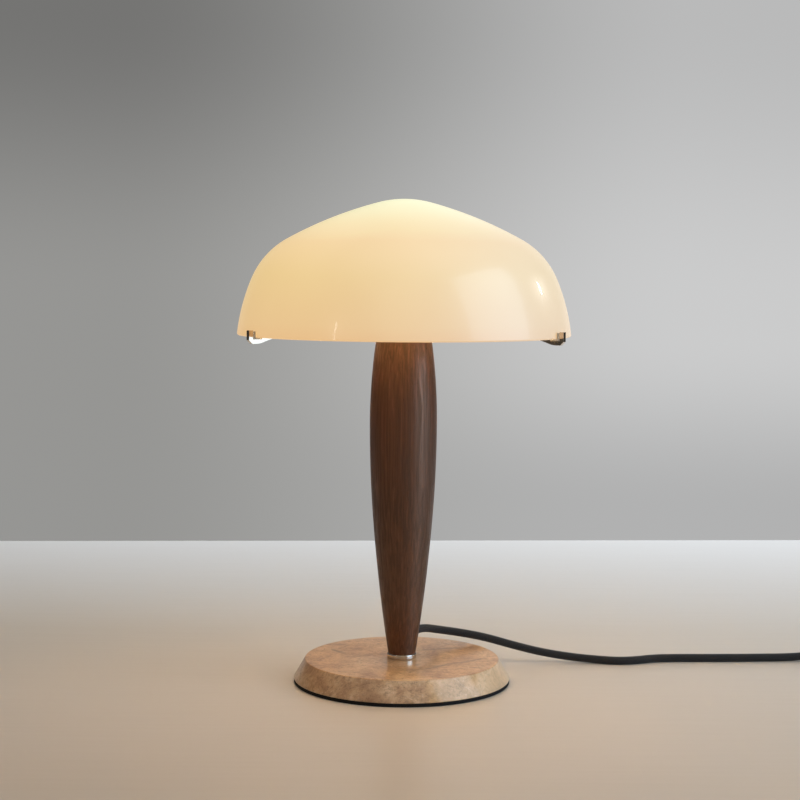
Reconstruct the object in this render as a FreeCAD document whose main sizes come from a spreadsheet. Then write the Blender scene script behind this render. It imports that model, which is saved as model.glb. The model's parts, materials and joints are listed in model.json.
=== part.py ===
import FreeCAD, Part
import math
import os
import Sketcher

# A mushroom table lamp: a stone foot, a turned walnut stem, and an opal glass shade that rests on three
# metal claws. Lengths are in millimetres and angles in degrees. The origin is on the table, under the
# middle of the foot, with +Z up and the front towards -Y.

Vector = FreeCAD.Vector
UP = Vector(0, 0, 1)
doc = FreeCAD.newDocument("MushroomTableLamp")

# The driving sizes

DRIVING_SIZES = [
    ("pad_thick", 3.0, "non-slip pad under the foot"),
    ("pad_setback", 0.4, "how far the pad stands inside the stone's lower edge"),
    ("stone_thick", 17.0, "stone foot"),
    ("stone_bottom_dia", 184.6, "stone foot at its lower edge"),
    ("stone_top_dia", 164.8, "stone foot at its upper edge"),
    ("arris_round", 1.0, "rounding of the stone's upper edge"),
    ("recess_dia", 36.0, "recess for the nut under the stone"),
    ("recess_depth", 9.0, "recess for the nut under the stone"),
    ("washer_dia", 32.0, "flat washer under the stone"),
    ("washer_thick", 2.0, "flat washer under the stone"),
    ("spring_washer_dia", 16.4, "split washer under the flat one"),
    ("spring_washer_thick", 1.6, "split washer under the flat one"),
    ("spring_washer_gap", 2.0, "slit of the split washer"),
    ("nut_flats", 14.0, "nuts across their flats"),
    ("nut_thick", 3.0, "nuts on the tie tube"),
    ("tube_dia", 10.0, "tie tube that holds the lamp together"),
    ("tube_bore", 7.6, "tie tube, inside"),
    ("tube_tail", 0.8, "tie tube below its lower nut"),
    ("tube_head", 4.5, "tie tube inside the lampholder"),
    ("tube_slack", 0.2, "play round the tie tube in its holes"),
    ("ring_dia", 25.0, "polished ring under the stem"),
    ("ring_thick", 4.0, "polished ring under the stem"),
    ("ring_round", 0.7, "rounding of the ring's edges"),
    ("stem_length", 272.0, "turned stem"),
    ("stem_wide_dia", 56.8, "stem at its widest"),
    ("stem_wide_height", 197.0, "widest place above the stem's foot"),
    ("stem_lower_height", 117.0, "where the lower curve starts, above the stem's foot"),
    ("stem_upper_radius", 498.0, "radius of the stem's outline, upper part"),
    ("stem_middle_radius", 1037.0, "radius of the stem's outline, middle part"),
    ("stem_lower_radius", 1509.0, "radius of the stem's outline, lower part"),
    ("stem_edge_round", 0.8, "rounding of the stem's top edge"),
    ("cord_dia", 7.0, "woven cord"),
    ("outlet_height", 14.0, "cord outlet above the stem's foot"),
    ("outlet_azimuth", 65.0, "direction of the cord outlet from +X"),
    ("outlet_seat_depth", 1.5, "flat seat round the cord outlet"),
    ("outlet_seat_dia", 12.6, "flat seat round the cord outlet"),
    ("relief_plug_dia", 8.0, "strain relief inside the stem"),
    ("relief_plug_length", 6.0, "strain relief inside the stem"),
    ("relief_flange_dia", 12.0, "strain relief's collar"),
    ("relief_flange_thick", 1.8, "strain relief's collar"),
    ("relief_root_dia", 10.4, "strain relief's sleeve at the collar"),
    ("relief_tip_dia", 8.4, "strain relief's sleeve at its tip"),
    ("relief_sleeve_length", 12.2, "strain relief's sleeve"),
    ("fit_slack", 0.1, "play round pieces that are pushed into holes"),
    ("core_dia", 2.2, "insulated conductors"),
    ("core_spread", 3.0, "distance between the two conductors in the tube"),
    ("window_width", 6.2, "opening in the tie tube for the conductors"),
    ("window_height", 6.4, "opening in the tie tube for the conductors"),
    ("hub_dia", 43.0, "plate that carries the arms"),
    ("hub_thick", 2.5, "plate that carries the arms"),
    ("first_arm", 91.5, "direction of the rear arm from +X"),
    ("arm_width", 4.6, "arm, sideways"),
    ("arm_height", 3.5, "arm, in height"),
    ("arm_root", 9.6, "inner end of the arm from the lamp's axis"),
    ("arm_drop", 8.0, "claw's underside below the top of the hub plate"),
    ("arm_slope", 20.5, "steepest fall of the arm"),
    ("claw_bend_radius", 18.0, "underside of the arm where it turns level"),
    ("claw_lead", 0.4, "level underside starts this far inside the rim"),
    ("claw_thick", 3.5, "upright of the claw"),
    ("claw_rise", 5.9, "upright of the claw above the rim"),
    ("claw_chamfer", 2.9, "cut corner of the claw"),
    ("saddle_floor", 1.0, "silicone saddle under the rim"),
    ("saddle_wall", 2.3, "silicone saddle outside the rim"),
    ("saddle_setback", 0.8, "saddle below the top of the claw"),
    ("seat_gap", 0.3, "gap between the glass and its saddles"),
    ("arm_screw_dia", 3.0, "thread of the arm screws"),
    ("arm_screw_head_dia", 5.4, "head of the arm screws"),
    ("arm_screw_head_height", 1.8, "head of the arm screws"),
    ("arm_screw_first", 12.9, "inner screw of each arm from the lamp's axis"),
    ("arm_screw_pitch", 5.9, "distance between the two screws of an arm"),
    ("arm_screw_hole_dia", 3.3, "screw hole in the arm"),
    ("shade_dia", 280.4, "glass shade at its rim"),
    ("glass_wall", 3.5, "wall of the glass"),
    ("crown_radius", 86.0, "outer radius of the crown"),
    ("crown_slope", 15.0, "slope where the crown ends"),
    ("shoulder_slope", 28.9, "slope where the long upper face ends"),
    ("shoulder_radius", 67.7, "outer radius of the shoulder"),
    ("wall_slope", 66.8, "slope where the shoulder ends"),
    ("skirt_radius", 165.8, "outer radius of the lower wall"),
    ("rim_slope", 83.9, "slope at the rim"),
    ("holder_gap", 0.3, "lampholder above the hub nut"),
    ("holder_neck_dia", 16.0, "lampholder's neck"),
    ("holder_neck_height", 3.5, "lampholder's neck"),
    ("holder_dia", 27.0, "lampholder's cap"),
    ("holder_cap_height", 15.0, "lampholder's cap"),
    ("holder_cone_height", 3.5, "lampholder's cap below its straight wall"),
    ("holder_cavity_dia", 19.0, "wiring space in the cap"),
    ("holder_floor", 6.0, "bottom of the wiring space above the cap's foot"),
    ("skirt_height", 22.0, "lampholder's outer sleeve"),
    ("skirt_wall", 1.6, "lampholder's outer sleeve"),
    ("skirt_lip_dia", 19.4, "mouth of the outer sleeve"),
    ("insert_dia", 22.2, "contact block's disc"),
    ("insert_thick", 4.0, "contact block's disc"),
    ("insert_seat", 1.3, "depth to which the disc is sunk in the cap"),
    ("insert_sleeve_dia", 18.4, "contact block's sleeve"),
    ("insert_sleeve_height", 16.5, "contact block's sleeve"),
    ("shell_dia", 16.4, "screw shell of the lampholder"),
    ("shell_wall", 0.5, "screw shell of the lampholder"),
    ("contact_dia", 6.0, "centre contact"),
    ("contact_thick", 0.8, "centre contact"),
    ("terminal_dia", 4.4, "terminal posts"),
    ("terminal_length", 2.5, "terminal posts below the disc"),
    ("terminal_spread", 12.0, "distance between the terminal posts"),
    ("bulb_length", 75.0, "globe bulb"),
    ("bulb_dia", 45.0, "globe bulb"),
    ("bulb_wall", 1.2, "globe of the bulb"),
    ("bulb_cap_dia", 13.9, "screw cap of the bulb"),
    ("bulb_cap_wall", 0.5, "screw cap of the bulb"),
    ("bulb_cap_foot", 3.2, "screw cap above the bulb's tip"),
    ("bulb_tip_dia", 4.8, "solder tip of the bulb"),
    ("bulb_tip_thick", 1.0, "solder tip of the bulb"),
    ("bulb_glass_dia", 12.6, "insulator of the bulb"),
    ("bulb_collar_height", 18.5, "housing above the bulb's tip"),
    ("bulb_collar_dia", 15.6, "housing at its foot"),
    ("bulb_waist_height", 36.0, "where the globe starts above the bulb's tip"),
    ("housing_wall", 1.4, "housing of the bulb"),
    ("board_thick", 1.2, "board with the light sources"),
    ("driver_width", 9.0, "driver board in the bulb"),
    ("driver_height", 20.0, "driver board in the bulb"),
    ("driver_thick", 1.6, "driver board in the bulb"),
    ("switch_length", 62.0, "switch in the cord"),
    ("switch_width", 27.0, "switch in the cord"),
    ("switch_split", 7.0, "where the two halves of the switch meet"),
    ("switch_height", 17.0, "switch in the cord"),
    ("switch_corner", 8.0, "corners of the switch in plan"),
    ("switch_edge", 2.5, "rounding of the switch's upper edge"),
    ("switch_wall", 1.7, "walls of the switch"),
    ("rocker_radius", 10.0, "rocker's ends from its pin"),
    ("rocker_width", 11.4, "rocker"),
    ("rocker_pin_height", 12.0, "rocker's pin above the table"),
    ("rocker_throw", 16.0, "turn of the rocker between off and on"),
    ("rocker_slack", 0.4, "gap round the rocker"),
    ("rocker_valley", 4.1, "middle of the rocker above its pin"),
    ("rocker_flank", 32.0, "rocker's upper corners, angle seen from the pin"),
    ("rocker_skirt", 5.0, "rocker's lower corners, angle seen from the pin"),
    ("rocker_keel_width", 6.0, "underside of the rocker"),
    ("rocker_keel_depth", 3.0, "underside of the rocker below its pin"),
    ("pin_dia", 2.0, "rocker's pin"),
    ("pin_slack", 0.04, "running clearance round the pin"),
    ("ear_thick", 1.8, "ears that carry the pin"),
    ("ear_width", 6.0, "ears that carry the pin"),
    ("ear_drop", 2.2, "ears below the pin"),
    ("strip_length", 15.0, "contact strips in the switch"),
    ("strip_width", 5.0, "contact strips in the switch"),
    ("strip_thick", 0.8, "contact strips in the switch"),
    ("strip_spread", 13.0, "distance between the strips"),
    ("leaf_foot", 4.0, "foot of the contact spring in the switch"),
    ("leaf_reach", 10.0, "contact spring, from its foot to its bend"),
    ("leaf_lip", 1.8, "bent end of the contact spring"),
    ("leaf_dip", 0.6, "drop of the contact spring's bent end"),
    ("leaf_width", 15.0, "contact spring in the switch"),
    ("leaf_thick", 0.5, "contact spring in the switch"),
    ("leaf_gap", 0.4, "contact spring below the rocker"),
    ("post_dia", 5.6, "screw posts in the switch"),
    ("post_pitch", 42.0, "distance between the screw posts"),
    ("case_screw_dia", 2.4, "screws of the switch"),
    ("case_screw_head_dia", 4.6, "screws of the switch"),
    ("case_screw_head_height", 1.4, "screws of the switch"),
    ("case_screw_length", 9.0, "screws of the switch below the head"),
    ("plug_width", 35.3, "flat plug"),
    ("plug_height", 13.7, "flat plug"),
    ("plug_length", 36.0, "flat plug without its sleeve"),
    ("plug_nose_length", 6.0, "wide front of the plug"),
    ("plug_waist_width", 26.0, "plug behind its wide front"),
    ("plug_rear_width", 15.0, "plug at its rear"),
    ("plug_round", 2.0, "rounding of the plug's long edges"),
    ("plug_sleeve_length", 24.0, "bend sleeve of the plug"),
    ("plug_sleeve_root_dia", 11.0, "bend sleeve at the plug"),
    ("plug_sleeve_tip_dia", 8.6, "bend sleeve at the cord"),
    ("plug_pin_dia", 4.0, "plug pins"),
    ("plug_pin_length", 19.0, "plug pins"),
    ("plug_pin_spread", 18.6, "distance between the plug pins"),
    ("plug_sleeved_length", 10.0, "insulated part of the plug pins"),
    ("plug_core_dia", 3.0, "plug pins under their insulation"),
    ("plug_insulation_dia", 3.8, "insulation of the plug pins"),
    ("coil_radius", 46.5, "centre line of the coil's outer turn"),
    ("coil_pitch", 7.5, "step from turn to turn and from layer to layer"),
    ("coil_turns", 5.0, "turns of the coil in its two layers"),
    ("coil_gap", 0.4, "least gap that the coil must keep to itself"),
]


class Size:
    """A size with its number and the expression that ties it to the sheet."""

    def __init__(self, number, words):
        self.number = float(number)
        self.words = words

    def __add__(self, other):
        other = as_size(other)
        return Size(self.number + other.number, f"({self.words} + {other.words})")

    def __sub__(self, other):
        other = as_size(other)
        return Size(self.number - other.number, f"({self.words} - {other.words})")

    def __mul__(self, other):
        other = as_size(other)
        return Size(self.number * other.number, f"({self.words} * {other.words})")

    def __truediv__(self, other):
        other = as_size(other)
        return Size(self.number / other.number, f"({self.words} / {other.words})")

    def __neg__(self):
        return Size(-self.number, f"(-{self.words})")

    __radd__ = __add__
    __rmul__ = __mul__

    def __rsub__(self, other):
        return as_size(other) - self

    def root(self):
        return Size(math.sqrt(self.number), f"sqrt({self.words})")

    def sine(self):
        return Size(math.sin(math.radians(self.number)), f"sin({self.words} * 1deg)")

    def cosine(self):
        return Size(math.cos(math.radians(self.number)), f"cos({self.words} * 1deg)")


def as_size(value):
    return value if isinstance(value, Size) else Size(value, repr(float(value)))


class Sizes:
    """The driving sizes, one attribute for each row of the sheet."""


sheet = doc.addObject("Spreadsheet::Sheet", "Sizes")
size = Sizes()
for row, (alias, number, note) in enumerate(DRIVING_SIZES, start=1):
    sheet.set(f"A{row}", alias)
    sheet.set(f"B{row}", str(number))
    sheet.set(f"C{row}", note)
    sheet.setAlias(f"B{row}", alias)
    setattr(size, alias, Size(number, f"Sizes.{alias}"))
doc.recompute()

places = doc.addObject("App::VarSet", "Places")


def place(name, value):
    """Names a worked-out size, so that later expressions stay short."""
    places.addProperty("App::PropertyFloat", name)
    setattr(places, name, value.number)
    places.setExpression(name, value.words)
    return Size(value.number, f"Places.{name}")


# Sketches and features

def role_of(body, role):
    for feature in body.Origin.OriginFeatures:
        if feature.Role == role:
            return feature
    raise ValueError(role)


def bind(thing, path, value):
    thing.setExpression(path, as_size(value).words)


def new_body(label):
    body = doc.addObject("PartDesign::Body", label)
    body.Label = label
    return body


def new_sketch(body, role, lift=0):
    """A sketch on one of the body's own planes, lifted along the plane's normal."""
    sketch = body.newObject("Sketcher::SketchObject", "Outline")
    sketch.AttachmentSupport = [(role_of(body, role), "")]
    sketch.MapMode = "FlatFace"
    lift = as_size(lift)
    if lift.number:
        sketch.AttachmentOffset = FreeCAD.Placement(UP * lift.number, FreeCAD.Rotation())
        bind(sketch, "AttachmentOffset.Base.z", lift)
    return sketch


def dimension(sketch, kind, *where, value):
    """A constraint whose value comes from the sheet."""
    value = as_size(value)
    index = sketch.addConstraint(Sketcher.Constraint(kind, *where, value.number))
    name = f"{kind}{index}"
    sketch.renameConstraint(index, name)
    bind(sketch, f"Constraints.{name}", value)


def fix_point(sketch, item, end, across, up):
    """Ties one end of a sketch element to its distances from the sketch's origin."""
    origin = (-1, 1)
    if as_size(across).number == 0:
        sketch.addConstraint(Sketcher.Constraint("PointOnObject", item, end, -2))
    else:
        dimension(sketch, "DistanceX", *origin, item, end, value=across)
    dimension(sketch, "DistanceY", *origin, item, end, value=up)


def arc_between(first, last, bend):
    """An arc of radius |bend| from first to last, turning left where bend is positive."""
    chord = last - first
    left = Vector(-chord.y, chord.x, 0).normalize()
    reach = math.sqrt(max(bend * bend - (chord.Length / 2) ** 2, 0))
    centre = (first + last) / 2 + left * math.copysign(reach, bend)
    start, stop = (first, last) if bend > 0 else (last, first)
    angles = [math.atan2(p.y - centre.y, p.x - centre.x) for p in (start, stop)]
    if angles[1] < angles[0]:
        angles[1] += 2 * math.pi
    return Part.ArcOfCircle(Part.Circle(centre, UP, abs(bend)), *angles)


def draw(sketch, corners):
    """A closed outline through corners (across, up) or (across, up, bend), where bend is the radius of
    the arc to the next corner, positive when it turns left."""
    points = [Vector(as_size(c[0]).number, as_size(c[1]).number, 0) for c in corners]
    ends = []
    for index, corner in enumerate(corners):
        first, last = points[index], points[(index + 1) % len(points)]
        if len(corner) == 3:
            bend = as_size(corner[2])
            item = sketch.addGeometry(arc_between(first, last, bend.number), False)
            ends.append((item, 1, 2) if bend.number > 0 else (item, 2, 1))
        else:
            item = sketch.addGeometry(Part.LineSegment(first, last), False)
            ends.append((item, 1, 2))
    for (item, start, _), (before, _, stop) in zip(ends, ends[-1:] + ends[:-1]):
        sketch.addConstraint(Sketcher.Constraint("Coincident", before, stop, item, start))
    for (item, start, _), corner in zip(ends, corners):
        fix_point(sketch, item, start, corner[0], corner[1])
        if len(corner) == 3:
            bend = as_size(corner[2])
            dimension(sketch, "Radius", item, value=bend if bend.number > 0 else -bend)
    return sketch


def draw_circle(sketch, diameter, across=0, up=0):
    diameter, across, up = as_size(diameter), as_size(across), as_size(up)
    centre = Vector(across.number, up.number, 0)
    item = sketch.addGeometry(Part.Circle(centre, UP, diameter.number / 2), False)
    fix_point(sketch, item, 3, across, up)
    dimension(sketch, "Diameter", item, value=diameter)
    return sketch


def draw_box(sketch, wide, high, across=0, up=0):
    """A rectangle of wide by high about the point (across, up)."""
    left, right = across - wide / 2, across + wide / 2
    low, top = up - high / 2, up + high / 2
    return draw(sketch, [(left, low), (right, low), (right, top), (left, top)])


def turned(body, corners, axis="V_Axis"):
    """A solid of revolution drawn in the body's own XZ plane."""
    sketch = draw(new_sketch(body, "XZ_Plane"), corners)
    turn = body.newObject("PartDesign::Revolution", "Turn")
    turn.Profile = sketch
    turn.ReferenceAxis = (sketch, [axis])
    turn.Angle = 360
    return turn


def turned_body(label, corners, axis="V_Axis"):
    body = new_body(label)
    turned(body, corners, axis)
    return body


def tube_body(label, outer, inner, low, high):
    """A ring or tube about the lamp's axis, from its diameters and its two heights."""
    return turned_body(label, [(inner / 2, low), (outer / 2, low), (outer / 2, high), (inner / 2, high)])


def padded(body, sketch, length, midplane=False):
    pad = body.newObject("PartDesign::Pad", "Thick")
    pad.Profile = sketch
    pad.Midplane = midplane
    pad.Length = as_size(length).number
    bind(pad, "Length", length)
    return pad


def pocket(body, sketch, depth, forward=True):
    """Cuts the sketch along its plane's normal, or against it where forward is False."""
    doc.recompute()
    before = body.Shape.Volume
    cut = body.newObject("PartDesign::Pocket", "Cut")
    cut.Profile = sketch
    cut.Length = as_size(depth).number
    bind(cut, "Length", depth)
    cut.Reversed = forward
    doc.recompute()
    if not body.Shape.Volume < before - 1e-6:
        raise ValueError(f"a pocket of {body.Label} removes nothing")
    return cut


def rounded(body, feature, radius, wanted):
    """Rounds the edges of the feature that the test named wanted picks."""
    doc.recompute()
    names = [f"Edge{i}" for i, edge in enumerate(feature.Shape.Edges, start=1) if wanted(edge)]
    fillet = body.newObject("PartDesign::Fillet", "Round")
    fillet.Base = (feature, names)
    fillet.Radius = as_size(radius).number
    bind(fillet, "Radius", radius)
    return fillet


def rim_at(radius, height):
    """Picks the full circles of that radius at that height."""
    def wanted(edge):
        curve = edge.Curve
        return (isinstance(curve, Part.Circle) and abs(curve.Radius - radius.number) < 0.01
                and abs(curve.Center.z - height.number) < 0.01)
    return wanted


def repeated(body, features, count):
    """Repeats features evenly about the body's Z axis."""
    pattern = body.newObject("PartDesign::PolarPattern", "Around")
    pattern.Originals = features
    pattern.Axis = (role_of(body, "Z_Axis"), [""])
    pattern.Angle = 360
    pattern.Occurrences = count
    body.Tip = pattern
    return pattern


def stand(body, at=(0, 0, 0), turn=0):
    """Turns the body about Z and moves its own origin to at."""
    at = [as_size(value) for value in at]
    turn = as_size(turn)
    base = Vector(*[value.number for value in at])
    body.Placement = FreeCAD.Placement(base, FreeCAD.Rotation(UP, turn.number))
    for axis, value in zip("xyz", at):
        bind(body, f"Placement.Base.{axis}", value)
    if turn.number:
        bind(body, "Placement.Rotation.Angle", turn)
    return body


# Heights that stack up from the table

stone_foot = place("stone_foot", size.pad_thick)
stone_top = place("stone_top", stone_foot + size.stone_thick)
stem_foot = place("stem_foot", stone_top + size.ring_thick)
stem_top = place("stem_top", stem_foot + size.stem_length)
hub_top = place("hub_top", stem_top + size.hub_thick)
hub_nut_top = place("hub_nut_top", hub_top + size.nut_thick)
holder_foot = place("holder_foot", hub_nut_top + size.holder_gap)
recess_top = place("recess_top", stone_foot + size.recess_depth)
washer_foot = place("washer_foot", recess_top - size.washer_thick)
spring_foot = place("spring_foot", washer_foot - size.spring_washer_thick)
nut_foot = place("nut_foot", spring_foot - size.nut_thick)
tube_foot = place("tube_foot", nut_foot - size.tube_tail)
tube_top = place("tube_top", holder_foot + size.tube_head)
tube_hole = place("tube_hole", size.tube_dia + 2 * size.tube_slack)
outlet = place("outlet", stem_foot + size.outlet_height)

# The foot: pad, stone, washers and nut

pad_radius = size.stone_bottom_dia / 2 - size.pad_setback
turned_body("base_pad", [(0, 0), (pad_radius, 0), (pad_radius, stone_foot), (0, stone_foot)])

stone = turned_body("base_stone", [
    (size.recess_dia / 2, stone_foot),
    (size.stone_bottom_dia / 2, stone_foot),
    (size.stone_top_dia / 2, stone_top),
    (tube_hole / 2, stone_top),
    (tube_hole / 2, recess_top),
    (size.recess_dia / 2, recess_top),
])
rounded(stone, stone.Tip, size.arris_round, rim_at(size.stone_top_dia / 2, stone_top))

tube_body("base_washer", size.washer_dia, tube_hole, washer_foot, recess_top)

spring_washer = tube_body("base_spring_washer", size.spring_washer_dia, tube_hole, spring_foot, washer_foot)
slit = new_sketch(spring_washer, "XY_Plane", spring_foot)
draw_box(slit, size.spring_washer_dia / 2, size.spring_washer_gap, across=size.spring_washer_dia / 2)
pocket(spring_washer, slit, size.spring_washer_thick)


def hex_nut(label, foot):
    """A thin hexagon nut on the tie tube."""
    body = new_body(label)
    sketch = new_sketch(body, "XY_Plane", foot)
    corner = size.nut_flats / math.sqrt(3)
    draw(sketch, [(corner * math.cos(math.radians(turn)), corner * math.sin(math.radians(turn)))
                  for turn in range(30, 390, 60)])
    draw_circle(sketch, size.tube_dia)
    padded(body, sketch, size.nut_thick)
    return body


hex_nut("base_nut", nut_foot)

# The tie tube, with a window through which the conductors enter

tube = tube_body("tie_tube", size.tube_dia, size.tube_bore, tube_foot, tube_top)
window = draw_box(new_sketch(tube, "YZ_Plane"), size.window_width, size.window_height, up=outlet)
pocket(tube, window, size.tube_dia)
stand(tube, turn=size.outlet_azimuth)

# The polished ring and the turned stem

ring = tube_body("stem_ring", size.ring_dia, tube_hole, stone_top, stem_foot)
rounded(ring, ring.Tip, size.ring_round, rim_at(size.ring_dia / 2, stem_foot))

stem_wide = size.stem_wide_dia / 2
stem_wide_at = place("stem_wide_at", stem_foot + size.stem_wide_height)
stem_joint_at = place("stem_joint_at", stem_foot + size.stem_lower_height)


def on_arc(bend, across, height):
    """How far across a point of an upright arc lies, at a height above the arc's centre."""
    return across + (bend * bend - height * height).root()


upper_centre = stem_wide - size.stem_upper_radius
middle_centre = stem_wide - size.stem_middle_radius
stem_top_radius = place(
    "stem_top_radius", on_arc(size.stem_upper_radius, upper_centre, stem_top - stem_wide_at))
stem_joint = place(
    "stem_joint", on_arc(size.stem_middle_radius, middle_centre, stem_joint_at - stem_wide_at))
bend_ratio = size.stem_lower_radius / size.stem_middle_radius
lower_centre = place("lower_centre", stem_joint - (stem_joint - middle_centre) * bend_ratio)
lower_centre_at = place("lower_centre_at", stem_joint_at - (stem_joint_at - stem_wide_at) * bend_ratio)
stem_foot_radius = place(
    "stem_foot_radius", on_arc(size.stem_lower_radius, lower_centre, stem_foot - lower_centre_at))
outlet_radius = place("outlet_radius", on_arc(size.stem_lower_radius, lower_centre, outlet - lower_centre_at))
outlet_seat = place("outlet_seat", outlet_radius - size.outlet_seat_depth)

stem = turned_body("stem", [
    (tube_hole / 2, stem_foot),
    (stem_foot_radius, stem_foot, size.stem_lower_radius),
    (stem_joint, stem_joint_at, size.stem_middle_radius),
    (stem_wide, stem_wide_at, size.stem_upper_radius),
    (stem_top_radius, stem_top),
    (tube_hole / 2, stem_top),
])
rounded(stem, stem.Tip, size.stem_edge_round, rim_at(stem_top_radius, stem_top))
outlet_hole = draw_circle(new_sketch(stem, "YZ_Plane"), size.relief_plug_dia + 2 * size.fit_slack, up=outlet)
pocket(stem, outlet_hole, outlet_radius * 2)
seat = draw_circle(new_sketch(stem, "YZ_Plane", outlet_seat), size.outlet_seat_dia, up=outlet)
pocket(stem, seat, outlet_radius)
stand(stem, turn=size.outlet_azimuth)

# The strain relief, moulded on the cord, in its own frame with +X out of the stem

relief_tip = place("relief_tip", outlet_seat + size.relief_flange_thick + size.relief_sleeve_length)
relief_inside = place("relief_inside", outlet_seat - size.relief_plug_length)
relief_collar = place("relief_collar", outlet_seat + size.relief_flange_thick)
outlet_across = size.outlet_azimuth.cosine()
outlet_along = size.outlet_azimuth.sine()
relief = turned_body("cord_relief", [
    (relief_inside, 0),
    (relief_tip, 0),
    (relief_tip, size.relief_tip_dia / 2),
    (relief_collar, size.relief_root_dia / 2),
    (relief_collar, size.relief_flange_dia / 2),
    (outlet_seat, size.relief_flange_dia / 2),
    (outlet_seat, size.relief_plug_dia / 2),
    (relief_inside, size.relief_plug_dia / 2),
], axis="H_Axis")
stand(relief, at=(0, 0, outlet), turn=size.outlet_azimuth)

# The hub plate, its nut and the three arms with their claws

arm_screw_last = place("arm_screw_last", size.arm_screw_first + size.arm_screw_pitch)
hub = tube_body("hub_plate", size.hub_dia, tube_hole, stem_top, hub_top)
hub_holes = new_sketch(hub, "XY_Plane", stem_top)
draw_circle(hub_holes, size.arm_screw_dia + size.fit_slack, across=size.arm_screw_first)
draw_circle(hub_holes, size.arm_screw_dia + size.fit_slack, across=arm_screw_last)
ARMS = 3
repeated(hub, [pocket(hub, hub_holes, size.hub_thick)], ARMS)
stand(hub, turn=size.first_arm)
hex_nut("hub_nut", hub_top)

rim_radius = size.shade_dia / 2
keel = place("keel", hub_top - size.arm_drop)
seat_height = place("seat_height", keel + size.arm_height)
rim = place("rim", seat_height + size.saddle_floor + size.seat_gap)
saddle_face = place("saddle_face", rim_radius + size.seat_gap)
claw_inner = place("claw_inner", saddle_face + size.saddle_wall)
claw_outer = place("claw_outer", claw_inner + size.claw_thick)
claw_top = place("claw_top", rim + size.claw_rise)
keel_start = place("keel_start", rim_radius - size.claw_lead)
slope_sine = size.arm_slope.sine()
slope_cosine = size.arm_slope.cosine()
fall_end = place("fall_end", keel_start - size.claw_bend_radius * slope_sine)
fall_end_at = place("fall_end_at", keel + size.claw_bend_radius * (1 - slope_cosine))
arm_bend_radius = place("arm_bend_radius", (hub_top - fall_end_at) / (1 - slope_cosine))
fall_start = place("fall_start", fall_end - arm_bend_radius * slope_sine)
notch = place("notch", fall_end + size.arm_height * slope_sine)
notch_at = place("notch_at", fall_end_at + size.arm_height * slope_cosine)


def claw_arm(label, turn):
    """A bent bar that leaves the hub level, falls to the rim and stands up outside it as a claw."""
    body = new_body(label)
    sketch = draw(new_sketch(body, "XZ_Plane"), [
        (size.arm_root, hub_top),
        (fall_start, hub_top, -arm_bend_radius),
        (fall_end, fall_end_at, size.claw_bend_radius),
        (keel_start, keel),
        (claw_outer - size.claw_chamfer, keel),
        (claw_outer, keel + size.claw_chamfer),
        (claw_outer, claw_top),
        (claw_inner, claw_top),
        (claw_inner, seat_height),
        (notch, seat_height),
        (notch, notch_at, arm_bend_radius + size.arm_height),
        (fall_start, hub_top + size.arm_height),
        (size.arm_root, hub_top + size.arm_height),
    ])
    padded(body, sketch, size.arm_width, midplane=True)
    holes = new_sketch(body, "XY_Plane", hub_top)
    draw_circle(holes, size.arm_screw_hole_dia, across=size.arm_screw_first)
    draw_circle(holes, size.arm_screw_hole_dia, across=arm_screw_last)
    pocket(body, holes, size.arm_height)
    return stand(body, turn=turn)


for number, name in enumerate(("claw_arm_rear", "claw_arm_left", "claw_arm_right")):
    claw_arm(name, size.first_arm + 360 / ARMS * number)

screws = new_body("arm_screws")
screw_turns = []
for screw_at in (size.arm_screw_first, arm_screw_last):
    head_foot = hub_top + size.arm_height
    drawing = draw(new_sketch(screws, "XZ_Plane"), [
        (screw_at, stem_top),
        (screw_at + size.arm_screw_dia / 2, stem_top),
        (screw_at + size.arm_screw_dia / 2, head_foot),
        (screw_at + size.arm_screw_head_dia / 2, head_foot),
        (screw_at + size.arm_screw_head_dia / 2, head_foot + size.arm_screw_head_height),
        (screw_at, head_foot + size.arm_screw_head_height),
    ])
    axis_foot = Vector(screw_at.number, 0, 0)
    centre_line = drawing.addGeometry(Part.LineSegment(axis_foot, axis_foot + Vector(0, 1, 0)), True)
    fix_point(drawing, centre_line, 1, screw_at, 0)
    fix_point(drawing, centre_line, 2, screw_at, 1)
    turn = screws.newObject("PartDesign::Revolution", "Turn")
    turn.Profile = drawing
    turn.ReferenceAxis = (drawing, ["Axis0"])
    turn.Angle = 360
    screw_turns.append(turn)
    doc.recompute()
repeated(screws, screw_turns, ARMS)
stand(screws, turn=size.first_arm)

saddles = new_body("rim_saddles")
saddle_floor_start = notch + size.fit_slack
saddle_top = claw_top - size.saddle_setback
saddle = draw(new_sketch(saddles, "XZ_Plane"), [
    (saddle_floor_start, seat_height),
    (claw_inner, seat_height),
    (claw_inner, saddle_top),
    (saddle_face, saddle_top),
    (saddle_face, seat_height + size.saddle_floor),
    (saddle_floor_start, seat_height + size.saddle_floor),
])
repeated(saddles, [padded(saddles, saddle, size.arm_width, midplane=True)], ARMS)
stand(saddles, turn=size.first_arm)

# The glass shade: four arcs from the crown to the rim, with a wall of even thickness

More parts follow.
